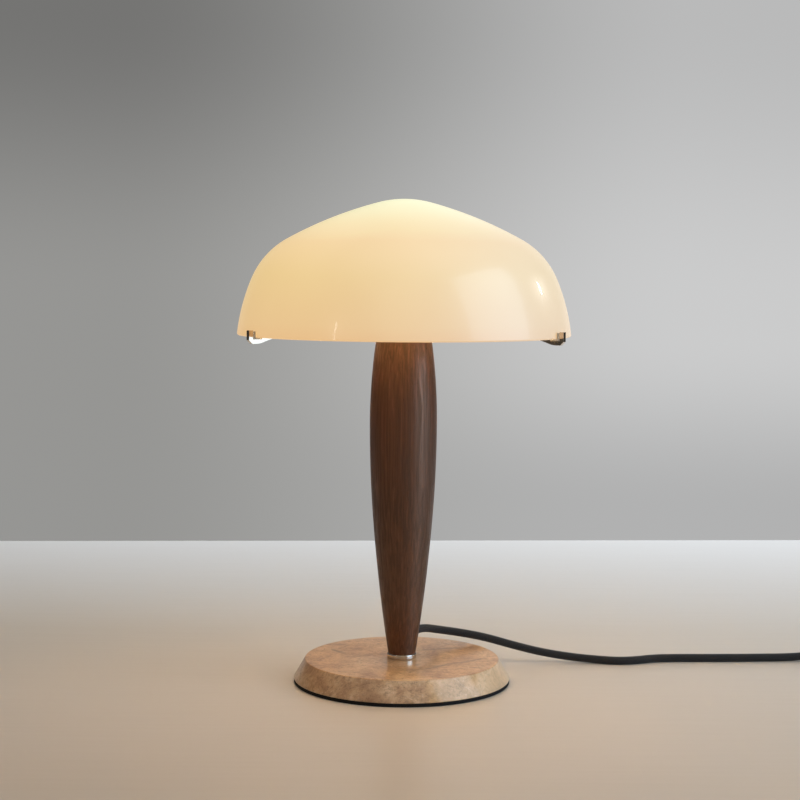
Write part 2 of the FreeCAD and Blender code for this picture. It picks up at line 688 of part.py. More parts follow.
crown, shoulder = size.crown_slope, size.shoulder_slope
steep, edge = size.wall_slope, size.rim_slope
face_radius = place("face_radius", (
    rim_radius - size.crown_radius * crown.sine()
    - size.shoulder_radius * (steep.sine() - shoulder.sine())
    - size.skirt_radius * (edge.sine() - steep.sine())
) / (shoulder.sine() - crown.sine()))
skirt_centre_r = place("skirt_centre_r", rim_radius - size.skirt_radius * edge.sine())
skirt_centre_z = place("skirt_centre_z", rim - size.skirt_radius * edge.cosine())
past_skirt = size.skirt_radius - size.shoulder_radius
shoulder_centre_r = place("shoulder_centre_r", skirt_centre_r + past_skirt * steep.sine())
shoulder_centre_z = place("shoulder_centre_z", skirt_centre_z + past_skirt * steep.cosine())
past_shoulder = size.shoulder_radius - face_radius
face_centre_r = place("face_centre_r", shoulder_centre_r + past_shoulder * shoulder.sine())
face_centre_z = place("face_centre_z", shoulder_centre_z + past_shoulder * shoulder.cosine())
crown_centre_z = place("crown_centre_z", face_centre_z + (face_radius - size.crown_radius) * crown.cosine())


def glass_surface(depth):
    """Corners of the surface that lies depth inside the outer one, from the rim up to the crown."""
    low, middle, high, top = (
        bend - depth for bend in (size.skirt_radius, size.shoulder_radius, face_radius, size.crown_radius))
    return [
        (on_arc(low, skirt_centre_r, rim - skirt_centre_z), rim, low),
        (skirt_centre_r + low * steep.sine(), skirt_centre_z + low * steep.cosine(), middle),
        (shoulder_centre_r + middle * shoulder.sine(), shoulder_centre_z + middle * shoulder.cosine(), high),
        (face_centre_r + high * crown.sine(), face_centre_z + high * crown.cosine(), top),
        (0, crown_centre_z + top),
    ]


outside = glass_surface(as_size(0))
inside = glass_surface(size.glass_wall)
way_down = [inside[-1][:2] + (-inside[-2][2],)]
for upper, lower in zip(inside[-2:0:-1], inside[-3::-1]):
    way_down.append(upper[:2] + (-lower[2],))
way_down.append(inside[0][:2])
shade = turned_body("shade_glass", outside + way_down)

# The lampholder, from its cap up to its mouth

cap_top = place("cap_top", holder_foot + size.holder_cap_height)
insert_foot = place("insert_foot", cap_top - size.insert_seat)
insert_top = place("insert_top", insert_foot + size.insert_thick)
neck_top = holder_foot + size.holder_neck_height
turned_body("holder_cap", [
    (size.tube_dia / 2, holder_foot),
    (size.holder_neck_dia / 2, holder_foot),
    (size.holder_neck_dia / 2, neck_top),
    (size.holder_dia / 2, neck_top + size.holder_cone_height),
    (size.holder_dia / 2, cap_top),
    (size.insert_dia / 2 + size.fit_slack, cap_top),
    (size.insert_dia / 2 + size.fit_slack, insert_foot),
    (size.holder_cavity_dia / 2, insert_foot),
    (size.holder_cavity_dia / 2, holder_foot + size.holder_floor),
    (size.tube_dia / 2, holder_foot + size.holder_floor),
])

skirt_top = place("skirt_top", cap_top + size.skirt_height)
skirt_inner = size.holder_dia / 2 - size.skirt_wall
turned_body("holder_skirt", [
    (skirt_inner, cap_top),
    (size.holder_dia / 2, cap_top),
    (size.holder_dia / 2, skirt_top),
    (size.skirt_lip_dia / 2, skirt_top),
    (size.skirt_lip_dia / 2, skirt_top - size.skirt_wall),
    (skirt_inner, skirt_top - size.skirt_wall),
])

sleeve_top = place("sleeve_top", insert_top + size.insert_sleeve_height)
turned_body("holder_insert", [
    (0, insert_foot),
    (size.insert_dia / 2, insert_foot),
    (size.insert_dia / 2, insert_top),
    (size.insert_sleeve_dia / 2, insert_top),
    (size.insert_sleeve_dia / 2, sleeve_top),
    (size.shell_dia / 2, sleeve_top),
    (size.shell_dia / 2, insert_top),
    (0, insert_top),
])
tube_body("holder_shell", size.shell_dia, size.shell_dia - 2 * size.shell_wall, insert_top, sleeve_top)
contact_top = place("contact_top", insert_top + size.contact_thick)


def disc_body(label, radius, low, high):
    """A round plate about the lamp's axis."""
    return turned_body(label, [(0, low), (radius, low), (radius, high), (0, high)])


disc_body("holder_contact", size.contact_dia / 2, insert_top, contact_top)

terminal_foot = place("terminal_foot", insert_foot - size.terminal_length)
terminals = new_body("holder_terminals")
post_circle = new_sketch(terminals, "XY_Plane", terminal_foot)
draw_circle(post_circle, size.terminal_dia, up=size.terminal_spread / 2)
repeated(terminals, [padded(terminals, post_circle, size.terminal_length)], 2)
stand(terminals, turn=size.outlet_azimuth)

# The globe bulb, in heights above its solder tip

tip = place("tip", contact_top + size.seat_gap)
bulb_foot = place("bulb_foot", tip + size.bulb_cap_foot)
collar_foot = place("collar_foot", tip + size.bulb_collar_height)
waist = place("waist", tip + size.bulb_waist_height)
bulb_radius = size.bulb_dia / 2
globe_centre = place("globe_centre", tip + size.bulb_length - bulb_radius)
waist_radius = place("waist_radius", (bulb_radius * bulb_radius
                                      - (globe_centre - waist) * (globe_centre - waist)).root())
tip_top = tip + size.bulb_tip_thick
solder = size.bulb_tip_dia / 2
disc_body("bulb_tip_contact", solder, tip, tip_top)
turned_body("bulb_insulator", [
    (0, tip_top),
    (solder, tip_top),
    (size.bulb_glass_dia / 2, bulb_foot),
    (0, bulb_foot),
])
cap_wall = size.bulb_cap_wall
turned_body("bulb_screw_cap", [
    (0, bulb_foot),
    (size.bulb_cap_dia / 2, bulb_foot),
    (size.bulb_cap_dia / 2, collar_foot),
    (size.bulb_cap_dia / 2 - cap_wall, collar_foot),
    (size.bulb_cap_dia / 2 - cap_wall, bulb_foot + cap_wall),
    (0, bulb_foot + cap_wall),
])
board_foot = place("board_foot", waist - size.board_thick)
board_radius = waist_radius - size.housing_wall
turned_body("bulb_housing", [
    (size.bulb_collar_dia / 2 - size.housing_wall, collar_foot),
    (size.bulb_collar_dia / 2, collar_foot),
    (waist_radius, waist),
    (board_radius, waist),
    (board_radius, board_foot),
    (board_radius - size.housing_wall, board_foot),
])
disc_body("bulb_light_board", board_radius, board_foot, waist)
globe_inner = bulb_radius - size.bulb_wall
waist_inner = ((globe_inner * globe_inner) - (globe_centre - waist) * (globe_centre - waist)).root()
turned_body("bulb_globe", [
    (waist_inner, waist),
    (waist_radius, waist, bulb_radius),
    (bulb_radius, globe_centre, bulb_radius),
    (0, globe_centre + bulb_radius),
    (0, globe_centre + globe_inner, -globe_inner),
    (globe_inner, globe_centre, -globe_inner),
])
driver = new_body("bulb_driver")
driver_sketch = draw_box(new_sketch(driver, "XY_Plane", board_foot - size.driver_height),
                         size.driver_width, size.driver_thick)
padded(driver, driver_sketch, size.driver_height)

# The switch in the cord and the plug lie where the cord's chosen points end

# Points of the cord from the strain relief to the switch, over the edge of the foot and along the table.
cord_way = Vector(outlet_across.number, outlet_along.number, 0)
LEAD_POINTS = [
    tuple(cord_way * relief_tip.number + UP * outlet.number),
    tuple(cord_way * (relief_tip + 2.1 * size.cord_dia).number + UP * outlet.number),
    (31.5, 50.8, 33.4), (53.0, 60.0, 28.6), (75.0, 65.5, 23.4), (99.0, 69.3, 15.8), (124.0, 71.5, 9.2),
    (151.0, 71.5, 4.8), (174.0, 67.8, 3.5), (192.0, 62.5, 3.5), (209.0, 65.5, 3.5), (226.0, 74.0, 3.5),
    (250.0, 76.5, 3.5), (285.0, 77.2, 3.5), (320.0, 79.5, 3.5), (349.0, 81.8, 3.5), (364.0, 83.0, 4.4),
    (375.0, 83.0, 7.0), (386.0, 83.0, 7.0),
]
# Points from the switch to the start of the coil, and from the end of the coil to the plug.
LINK_POINTS = [
    (448.0, 83.0, 7.0), (464.0, 83.0, 7.0), (480.0, 77.0, 5.0), (492.0, 64.5, 3.8), (498.6, 48.5, 3.5),
    (500.5, 34.5, 3.5), (500.5, 22.0, 3.5),
]
TAIL_POINTS = [
    (500.5, 8.0, 11.0), (500.5, -6.0, 11.0), (497.5, -21.5, 10.3), (490.0, -36.0, 8.6), (478.0, -48.0, 7.2),
    (463.0, -56.5, 6.85), (446.5, -60.5, 6.85),
]
switch_x = LEAD_POINTS[-1][0] + size.switch_length / 2
switch_y = LEAD_POINTS[-1][1]


def in_switch(body):
    """Moves a body from the middle of the switch to its place on the table."""
    return stand(body, at=(switch_x, switch_y, 0))


def draw_case(sketch, inset=0):
    """The switch's outline in plan, with round corners, or the outline that lies inset inside it."""
    half_long = size.switch_length / 2 - inset
    half_wide = size.switch_width / 2 - inset
    corner = size.switch_corner - inset
    return draw(sketch, [
        (-half_long + corner, -half_wide), (half_long - corner, -half_wide, corner),
        (half_long, -half_wide + corner), (half_long, half_wide - corner, corner),
        (half_long - corner, half_wide), (-half_long + corner, half_wide, corner),
        (-half_long, half_wide - corner), (-half_long, -half_wide + corner, corner),
    ])


post_across = size.post_pitch / 2
base = in_switch(new_body("switch_base"))
padded(base, draw_case(new_sketch(base, "XY_Plane")), size.switch_split)
hollow = new_sketch(base, "XY_Plane", size.switch_wall)
draw_case(hollow, size.switch_wall)
for side in (-1, 1):
    draw_circle(hollow, size.post_dia, across=post_across * side)
pocket(base, hollow, size.switch_split)
for diameter, depth in ((size.case_screw_dia + 2 * size.fit_slack, size.switch_split),
                        (size.case_screw_head_dia + 2 * size.fit_slack, size.case_screw_head_height)):
    holes = new_sketch(base, "XY_Plane")
    for side in (-1, 1):
        draw_circle(holes, diameter, across=post_across * side)
    pocket(base, holes, depth)

cover = in_switch(new_body("switch_cover"))
roof = size.switch_height - size.switch_wall
shell = padded(cover, draw_case(new_sketch(cover, "XY_Plane", size.switch_split)),
               size.switch_height - size.switch_split)
rounded(cover, shell, size.switch_edge, lambda e: abs(e.BoundBox.ZMin - size.switch_height.number) < 0.01)
hollow = new_sketch(cover, "XY_Plane", size.switch_split)
draw_case(hollow, size.switch_wall)
for side in (-1, 1):
    draw_circle(hollow, size.post_dia, across=post_across * side)
    ear_at = (size.rocker_width / 2 + size.rocker_slack + size.ear_thick / 2) * side
    draw_box(hollow, size.ear_width, size.ear_thick, up=ear_at)
pocket(cover, hollow, roof - size.switch_split)
ear_trim = new_sketch(cover, "XY_Plane", size.switch_split)
ear_span = size.rocker_width + 2 * size.rocker_slack + 2 * size.ear_thick
draw_box(ear_trim, size.ear_width, ear_span)
pocket(cover, ear_trim, size.rocker_pin_height - size.ear_drop - size.switch_split)
rocker_window = new_sketch(cover, "XY_Plane", size.switch_split)
window_long = 2 * (size.rocker_radius + size.rocker_slack)
draw_box(rocker_window, window_long, size.rocker_width + 2 * size.rocker_slack)
pocket(cover, rocker_window, size.switch_height)
pin_hole = new_sketch(cover, "XZ_Plane", -(ear_span / 2))
draw_circle(pin_hole, size.pin_dia, up=size.rocker_pin_height)
pocket(cover, pin_hole, ear_span)
screw_holes = new_sketch(cover, "XY_Plane", size.switch_split)
for side in (-1, 1):
    draw_circle(screw_holes, size.case_screw_dia, across=post_across * side)
pocket(cover, screw_holes, size.case_screw_length + size.case_screw_head_height - size.switch_split)


def polar(radius, angle):
    return radius * angle.cosine(), radius * angle.sine()


rocker = new_body("switch_rocker")
flank_x, flank_z = polar(size.rocker_radius, size.rocker_flank)
skirt_x, skirt_z = polar(size.rocker_radius, size.rocker_skirt)
keel_x = size.rocker_keel_width / 2
rocker_face = draw(new_sketch(rocker, "XZ_Plane"), [
    (0, size.rocker_valley),
    (-flank_x, flank_z, size.rocker_radius),
    (-skirt_x, skirt_z),
    (-keel_x, -size.rocker_keel_depth),
    (keel_x, -size.rocker_keel_depth),
    (skirt_x, skirt_z, size.rocker_radius),
    (flank_x, flank_z),
])
padded(rocker, rocker_face, size.rocker_width, midplane=True)
bore = new_sketch(rocker, "XZ_Plane", -(size.rocker_width / 2))
draw_circle(bore, size.pin_dia + 2 * size.pin_slack)
pocket(rocker, bore, size.rocker_width)
rocker.Placement = FreeCAD.Placement(
    Vector(switch_x.number, switch_y, size.rocker_pin_height.number),
    FreeCAD.Rotation(Vector(0, 1, 0), size.rocker_throw.number / 2))
bind(rocker, "Placement.Base.x", switch_x)
bind(rocker, "Placement.Base.z", size.rocker_pin_height)
bind(rocker, "Placement.Rotation.Angle", size.rocker_throw / 2)

pin = in_switch(new_body("rocker_pin"))
pin_end = draw_circle(new_sketch(pin, "XZ_Plane"), size.pin_dia, up=size.rocker_pin_height)
padded(pin, pin_end, ear_span, midplane=True)

strips = in_switch(new_body("switch_contacts"))
strip_plan = new_sketch(strips, "XY_Plane", size.switch_wall)
for side in (-1, 1):
    draw_box(strip_plan, size.strip_length, size.strip_width, up=size.strip_spread / 2 * side)
padded(strips, strip_plan, size.strip_thick)

# The rocker's lower edge presses on a spring that stands on the two strips.
tilt = size.rocker_throw / 2
keel_drop = size.rocker_keel_depth * tilt.cosine() + keel_x * tilt.sine()
leaf_foot_at = size.switch_wall + size.strip_thick
leaf_top = size.rocker_pin_height - keel_drop - size.leaf_gap
leaf_start = keel_x - size.leaf_reach
leaf_bend = leaf_start + size.leaf_foot
leaf_end = keel_x + size.leaf_lip
leaf = in_switch(new_body("switch_leaf"))
leaf_side = draw(new_sketch(leaf, "XZ_Plane"), [
    (leaf_start, leaf_foot_at),
    (leaf_bend, leaf_foot_at),
    (keel_x, leaf_top - size.leaf_thick),
    (leaf_end, leaf_top - size.leaf_thick - size.leaf_dip),
    (leaf_end, leaf_top - size.leaf_dip),
    (keel_x, leaf_top),
    (leaf_bend - size.leaf_thick / 2, leaf_foot_at + size.leaf_thick),
    (leaf_start, leaf_foot_at + size.leaf_thick),
])
padded(leaf, leaf_side, size.leaf_width, midplane=True)

case_screws = in_switch(new_body("switch_screws"))
head_plan = new_sketch(case_screws, "XY_Plane")
shank_plan = new_sketch(case_screws, "XY_Plane")
for side in (-1, 1):
    draw_circle(head_plan, size.case_screw_head_dia, across=post_across * side)
    draw_circle(shank_plan, size.case_screw_dia, across=post_across * side)
padded(case_screws, head_plan, size.case_screw_head_height)
doc.recompute()
padded(case_screws, shank_plan, size.case_screw_length + size.case_screw_head_height)

# The plug, in its own frame with +X towards its pins and its origin where the cord enters it

plug_last, plug_entry = Vector(*TAIL_POINTS[-2]), Vector(*TAIL_POINTS[-1])
plug_heading = math.degrees(math.atan2(plug_entry.y - plug_last.y, plug_entry.x - plug_last.x))


def on_plug(body):
    return stand(body, at=tuple(plug_entry), turn=plug_heading)


sleeve_end = size.plug_sleeve_length
on_plug(turned_body("plug_sleeve", [
    (0, 0),
    (sleeve_end, 0),
    (sleeve_end, size.plug_sleeve_root_dia / 2),
    (0, size.plug_sleeve_tip_dia / 2),
], axis="H_Axis"))

plug_front = sleeve_end + size.plug_length
plug = on_plug(new_body("plug_body"))
half_rear, half_waist, half_front = size.plug_rear_width / 2, size.plug_waist_width / 2, size.plug_width / 2
nose = plug_front - size.plug_nose_length
flare = nose - size.plug_nose_length
plug_plan = draw(new_sketch(plug, "XY_Plane"), [
    (sleeve_end, -half_rear), (flare, -half_waist), (nose, -half_front), (plug_front, -half_front),
    (plug_front, half_front), (nose, half_front), (flare, half_waist), (sleeve_end, half_rear),
])
block = padded(plug, plug_plan, size.plug_height, midplane=True)
plug_half = size.plug_height.number / 2
rounded(plug, block, size.plug_round, lambda e: (
    abs(abs(e.CenterOfMass.z) - plug_half) < 0.01 and abs(e.tangentAt(e.FirstParameter).x) > 0.3))

pin_end_x = plug_front + size.plug_pin_length
sleeve_stop = plug_front + size.plug_sleeved_length


def plug_pair(label, corners):
    """Two like pieces of revolution about the plug's two pin axes."""
    body = new_body(label)
    for side in (-1, 1):
        middle = size.plug_pin_spread / 2 * side
        sketch = draw(new_sketch(body, "XY_Plane"), [(x, middle + y) for x, y in corners])
        start = Vector(plug_front.number, middle.number, 0)
        line = sketch.addGeometry(Part.LineSegment(start, start + Vector(1, 0, 0)), True)
        fix_point(sketch, line, 1, plug_front, middle)
        fix_point(sketch, line, 2, plug_front + 1, middle)
        turn = body.newObject("PartDesign::Revolution", "Turn")
        turn.Profile = sketch
        turn.ReferenceAxis = (sketch, ["Axis0"])
        turn.Angle = 360
        doc.recompute()
    return on_plug(body)


plug_pair("plug_pins", [
    (plug_front, 0),
    (pin_end_x, 0),
    (pin_end_x, size.plug_pin_dia / 2),
    (sleeve_stop, size.plug_pin_dia / 2),
    (sleeve_stop, size.plug_core_dia / 2),
    (plug_front, size.plug_core_dia / 2),
])
plug_pair("plug_pin_sleeves", [
    (plug_front, size.plug_core_dia / 2), (sleeve_stop, size.plug_core_dia / 2),
    (sleeve_stop, size.plug_insulation_dia / 2), (plug_front, size.plug_insulation_dia / 2),
])

# The cord and its two conductors

doc.recompute()


def swept(label, edges, diameter):
    """A round wire along a path of arcs and straight runs that meet smoothly."""
    path = Part.Wire(edges)
    start = edges[0].firstVertex().Point
    heading = edges[0].tangentAt(edges[0].FirstParameter)
    profile = Part.Wire(Part.makeCircle(diameter / 2, start, heading))
    solid = path.makePipeShell([profile], True, False)
    wanted = math.pi * (diameter / 2) ** 2 * path.Length
    print(f"{label}: length {path.Length:.1f}, volume {solid.Volume:.0f}, section times length {wanted:.0f}")
    feature = doc.addObject("Part::Feature", label)
    feature.Label = label
    feature.Shape = solid
    return feature


def rounded_route(label, points):
    """Straight runs through the points, joined by the largest arcs that the runs allow."""
    points = [Vector(*p) for p in points]
    edges, last, radii = [], points[0], []
    for before, corner, after in zip(points, points[1:], points[2:]):
        back, ahead = before - corner, after - corner
        half_turn = (math.pi - back.getAngle(ahead)) / 2
        reach = 0.45 * min(back.Length, ahead.Length)
        radius = reach / math.tan(half_turn)
        radii.append(round(radius, 1))
        into, out = corner + back.normalize() * reach, corner + ahead.normalize() * reach
        inward = (back + ahead).normalize()
        middle = corner + inward * (radius / math.cos(half_turn) - radius)
        edges += [Part.LineSegment(last, into).toShape(), Part.Arc(into, middle, out).toShape()]
        last = out
    edges.append(Part.LineSegment(last, points[-1]).toShape())
    print(f"{label}: radii {radii}")
    return edges


cord_dia = size.cord_dia.number
swept("cord_lead", rounded_route("cord_lead", LEAD_POINTS), cord_dia)
swept("cord_link", rounded_route("cord_link", LINK_POINTS), cord_dia)
swept("cord_tail", rounded_route("cord_tail", TAIL_POINTS), cord_dia)

# The coil: it spirals in on the table, climbs a layer in the half turn in the middle and spirals out again.
coil_turns = size.coil_turns.number
coil_step = size.coil_pitch.number
coil_start = Vector(LINK_POINTS[-1][0], (LINK_POINTS[-1][1] + TAIL_POINTS[0][1]) / 2, LINK_POINTS[-1][2])
coil_centre = coil_start - Vector(size.coil_radius.number, 0, 0)


def coil_point(turn):
    """The cord's centre after that many turns, clockwise seen from above."""
    inward = min(turn, coil_turns - turn)
    radius = size.coil_radius.number - coil_step * inward
    climb = min(max((turn - coil_turns / 2 + 0.25) * 2, 0), 1)
    rise = coil_step * (climb * climb * 2 if climb < 0.5 else 1 - 2 * (1 - climb) ** 2)
    angle = -2 * math.pi * turn
    return coil_centre + Vector(radius * math.cos(angle), radius * math.sin(angle), rise)


def coil_heading(turn):
    """The cord's direction there, square to the radius at the two ends and at the middle of the climb."""
    step = 1e-4
    angle = -2 * math.pi * turn
    square = Vector(math.sin(angle), -math.cos(angle), 0)
    if turn in (0, coil_turns):
        return square
    heading = (coil_point(turn + step) - coil_point(turn - step)).normalize()
    if turn == coil_turns / 2:
        return (square + UP * (heading.z / math.hypot(heading.x, heading.y))).normalize()
    return heading


def arc_from(first, heading, last):
    """An arc that leaves first along heading and ends at last."""
    chord = last - first
    half = heading.getAngle(chord)
    side = (heading - chord * (heading.dot(chord) / chord.dot(chord))).normalize()
    middle = (first + last) / 2 + side * (chord.Length / 2 * math.tan(half / 2))
    return Part.Arc(first, middle, last).toShape()


def biarc(first, first_heading, last, last_heading):
    """Two arcs that leave first and reach last along the given headings."""
    across = last - first
    both = first_heading + last_heading
    spare = 2 * (1 - first_heading.dot(last_heading))
    reach = (math.sqrt(across.dot(both) ** 2 + spare * across.dot(across)) - across.dot(both)) / spare
    joint = (first + first_heading * reach + last - last_heading * reach) / 2
    back = arc_from(last, -last_heading, joint)
    out = Part.Arc(joint, back.valueAt((back.FirstParameter + back.LastParameter) / 2), last).toShape()
    return [arc_from(first, first_heading, joint), out]


QUARTERS = 4
stops = [number / QUARTERS for number in range(int(coil_turns * QUARTERS) + 1)]
coil_edges = []
for turn, following in zip(stops, stops[1:]):
    coil_edges += biarc(coil_point(turn), coil_heading(turn), coil_point(following), coil_heading(following))
straight = Vector(0, cord_dia, 0)
first, last = coil_point(0), coil_point(coil_turns)
coil_edges.insert(0, Part.LineSegment(first + straight, first).toShape())
coil_edges.append(Part.LineSegment(last, last - straight).toShape())
swept("cord_coil", coil_edges, cord_dia)

samples = [coil_point(number / 120) for number in range(int(coil_turns * 120) + 1)]
least = min(
    (here - there).Length
    for number, here in enumerate(samples)
    for there in samples[number + 60:]
) - cord_dia
tightest = min(edge.Curve.Radius for edge in coil_edges[1:-1])
print(f"cord_coil: least gap to itself {least:.2f}, tightest radius {tightest:.1f}")
if least < size.coil_gap.number:
    raise ValueError("the coil touches itself")


def core_route(side):
    """A conductor: in through the stem's hole, up the tube and out to its terminal."""
    way = math.radians(size.outlet_azimuth.number)
    out, aside = Vector(math.cos(way), math.sin(way), 0), Vector(-math.sin(way), math.cos(way), 0) * side
    near = size.core_spread.number / 2
    far = size.terminal_spread.number / 2
    turn = size.tube_bore.number / 2
    low, high = tube_top.number + 0.2, terminal_foot.number

    def at(outward, sideways, height):
        return out * outward + aside * sideways + UP * height

    level = outlet.number
    slant = math.sqrt(0.5)
    sweep = (high - low) / 2
    shift = (far - near) / 2
    bend = (sweep * sweep + shift * shift) / (2 * shift)
    half_turn = math.atan2(shift, sweep)
    rise = bend * math.sin(half_turn)
    lean = bend - bend * math.cos(half_turn)
    entry, bent = at(turn, near, level), at(0, near, level + turn)
    foot, half_way, end = at(0, near, low), at(0, near + shift, low + sweep), at(0, far, high)
    return [
        Part.LineSegment(at(relief_inside.number, near, level), entry).toShape(),
        Part.Arc(entry, at(turn * (1 - slant), near, level + turn * (1 - slant)), bent).toShape(),
        Part.LineSegment(bent, foot).toShape(),
        Part.Arc(foot, at(0, near + lean, low + rise), half_way).toShape(),
        Part.Arc(half_way, at(0, far - lean, high - rise), end).toShape(),
    ]


swept("core_live", core_route(1), size.core_dia.number)
swept("core_neutral", core_route(-1), size.core_dia.number)

# Check every piece and write it

doc.recompute()
pieces = [thing for thing in doc.Objects if thing.TypeId in ("PartDesign::Body", "Part::Feature")]
for thing in doc.Objects:
    if {"Invalid", "Error"} & set(thing.State):
        raise ValueError(f"{thing.Label} did not compute: {thing.State}")
for piece in pieces:
    if piece.Shape.isNull() or not piece.Shape.isValid() or not piece.Shape.Solids:
        raise ValueError(f"{piece.Label} has no valid solid")
os.makedirs("parts", exist_ok=True)
for piece in pieces:
    piece.Shape.exportStep(f"parts/{piece.Label}.step")
crown_top = crown_centre_z + size.crown_radius
print(f"{len(pieces)} pieces, rim at {rim.number:.2f}, crown at {crown_top.number:.2f}")
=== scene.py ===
import json
import math

import bmesh
import bpy
from mathutils import Matrix, Vector

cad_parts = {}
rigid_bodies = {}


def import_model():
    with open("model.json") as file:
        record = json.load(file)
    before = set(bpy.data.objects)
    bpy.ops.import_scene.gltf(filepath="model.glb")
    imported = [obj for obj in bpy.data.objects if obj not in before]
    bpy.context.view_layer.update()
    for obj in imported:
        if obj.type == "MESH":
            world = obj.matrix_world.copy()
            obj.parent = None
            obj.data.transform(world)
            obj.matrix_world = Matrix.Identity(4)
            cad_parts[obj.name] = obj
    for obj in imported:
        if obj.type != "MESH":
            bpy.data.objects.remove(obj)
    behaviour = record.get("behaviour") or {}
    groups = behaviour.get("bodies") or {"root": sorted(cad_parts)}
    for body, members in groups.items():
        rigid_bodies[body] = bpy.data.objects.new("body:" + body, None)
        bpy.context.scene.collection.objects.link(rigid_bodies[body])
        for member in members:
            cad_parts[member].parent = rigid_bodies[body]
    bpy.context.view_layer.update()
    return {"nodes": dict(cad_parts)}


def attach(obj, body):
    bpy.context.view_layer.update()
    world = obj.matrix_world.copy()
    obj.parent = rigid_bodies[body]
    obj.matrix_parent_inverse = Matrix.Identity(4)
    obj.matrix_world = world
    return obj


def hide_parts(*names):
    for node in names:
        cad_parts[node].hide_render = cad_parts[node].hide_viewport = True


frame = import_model()

# The view: a long lens about a metre and a half in front of the lamp, level with its shade and looking
# slightly down, as the photograph was taken. It was set from the ovals of the rim, the ring and the foot.
def in_scene(name, data):
    """Puts a new object in the scene."""
    made = bpy.data.objects.new(name, data)
    bpy.context.scene.collection.objects.link(made)
    return made


view_lens = bpy.data.cameras.new("view")
view_lens.sensor_width = 36.0
view_lens.lens = 77.47
view = in_scene("view", view_lens)
view_tilt = Matrix.Rotation(math.radians(85.49), 4, "X") @ Matrix.Rotation(0.007, 4, "Z")
view.matrix_world = Matrix.Translation((-0.00303, -1.4493, 0.35465)) @ view_tilt
bpy.context.scene.camera = view


# The foot's pad: a sheet of black rubber glued under the stone, so that it doesn't slip or scratch the table.
# It is cut a little smaller than the stone and shows as a thin dark line. Its grain is moulded.
def paint(red, green, blue):
    """A colour as the eye sees it, 0 to 255, made linear for the shader."""
    return tuple((part / 255) ** 2.2 for part in (red, green, blue))


class Wire:
    """One output of a node, so that a pattern is written as a sum."""

    def __init__(self, bench, socket):
        self.bench = bench
        self.socket = socket

    def maths(self, operation, first, second=0.0):
        return self.bench.node("ShaderNodeMath", {"operation": operation}, {0: first, 1: second})

    def __add__(self, other):
        return self.maths("ADD", self, other)

    def __sub__(self, other):
        return self.maths("SUBTRACT", self, other)

    def __rsub__(self, other):
        return self.maths("SUBTRACT", other, self)

    def __mul__(self, other):
        return self.maths("MULTIPLY", self, other)

    def __truediv__(self, other):
        return self.maths("DIVIDE", self, other)

    __radd__ = __add__
    __rmul__ = __mul__

    def root(self):
        return self.maths("SQRT", self)

    def sine(self):
        return self.maths("SINE", self)

    def cosine(self):
        return self.maths("COSINE", self)

    def floor(self):
        return self.maths("FLOOR", self)

    def rest(self):
        return self.maths("FRACT", self)

    def over(self, limit):
        return self.maths("GREATER_THAN", self, limit)

    def ramp(self, low, high):
        """0 below low, 1 above high and smooth between."""
        limits = {"Value": self, "From Min": low, "From Max": high}
        return self.bench.node("ShaderNodeMapRange", {"interpolation_type": "SMOOTHSTEP"}, limits)

    def near(self, middle, reach):
        """1 where the number is middle, falling smoothly to 0 where it is reach away."""
        away = self - middle
        return 1 - (away * away).root().ramp(0.0, reach)


class Bench:
    """A tree of nodes in the making."""

    def __init__(self, tree):
        self.tree = tree

    def node(self, kind, settings=None, sockets=None, output=0):
        """Adds a node, sets it up, feeds its sockets and hands back one of its outputs."""
        made = self.tree.nodes.new(kind)
        for name, value in (settings or {}).items():
            if name == "stops":
                for number, (place, colour) in enumerate(value):
                    stops = made.color_ramp.elements
                    stop = stops[number] if number < 2 else stops.new(place)
                    stop.position = place
                    stop.color = (*colour, 1.0)
            else:
                setattr(made, name, value)
        for name, value in (sockets or {}).items():
            self.feed(made.inputs[name], value)
        return Wire(self, made.outputs[output])

    def feed(self, socket, value):
        """Links a wire to a socket, or sets the socket's own value."""
        if isinstance(value, Wire):
            self.tree.links.new(value.socket, socket)
        elif socket.type == "RGBA":
            socket.default_value = (*value, 1.0)
        else:
            socket.default_value = value

    def blend(self, amount, first, second, way="MIX"):
        """Mixes two colours."""
        kind = {"data_type": "RGBA", "blend_type": way}
        return self.node("ShaderNodeMix", kind, {0: amount, 6: first, 7: second}, 2)

    def part(self, vector, axis):
        """The X, Y or Z of a vector."""
        return self.node("ShaderNodeSeparateXYZ", {}, {0: vector}, axis)


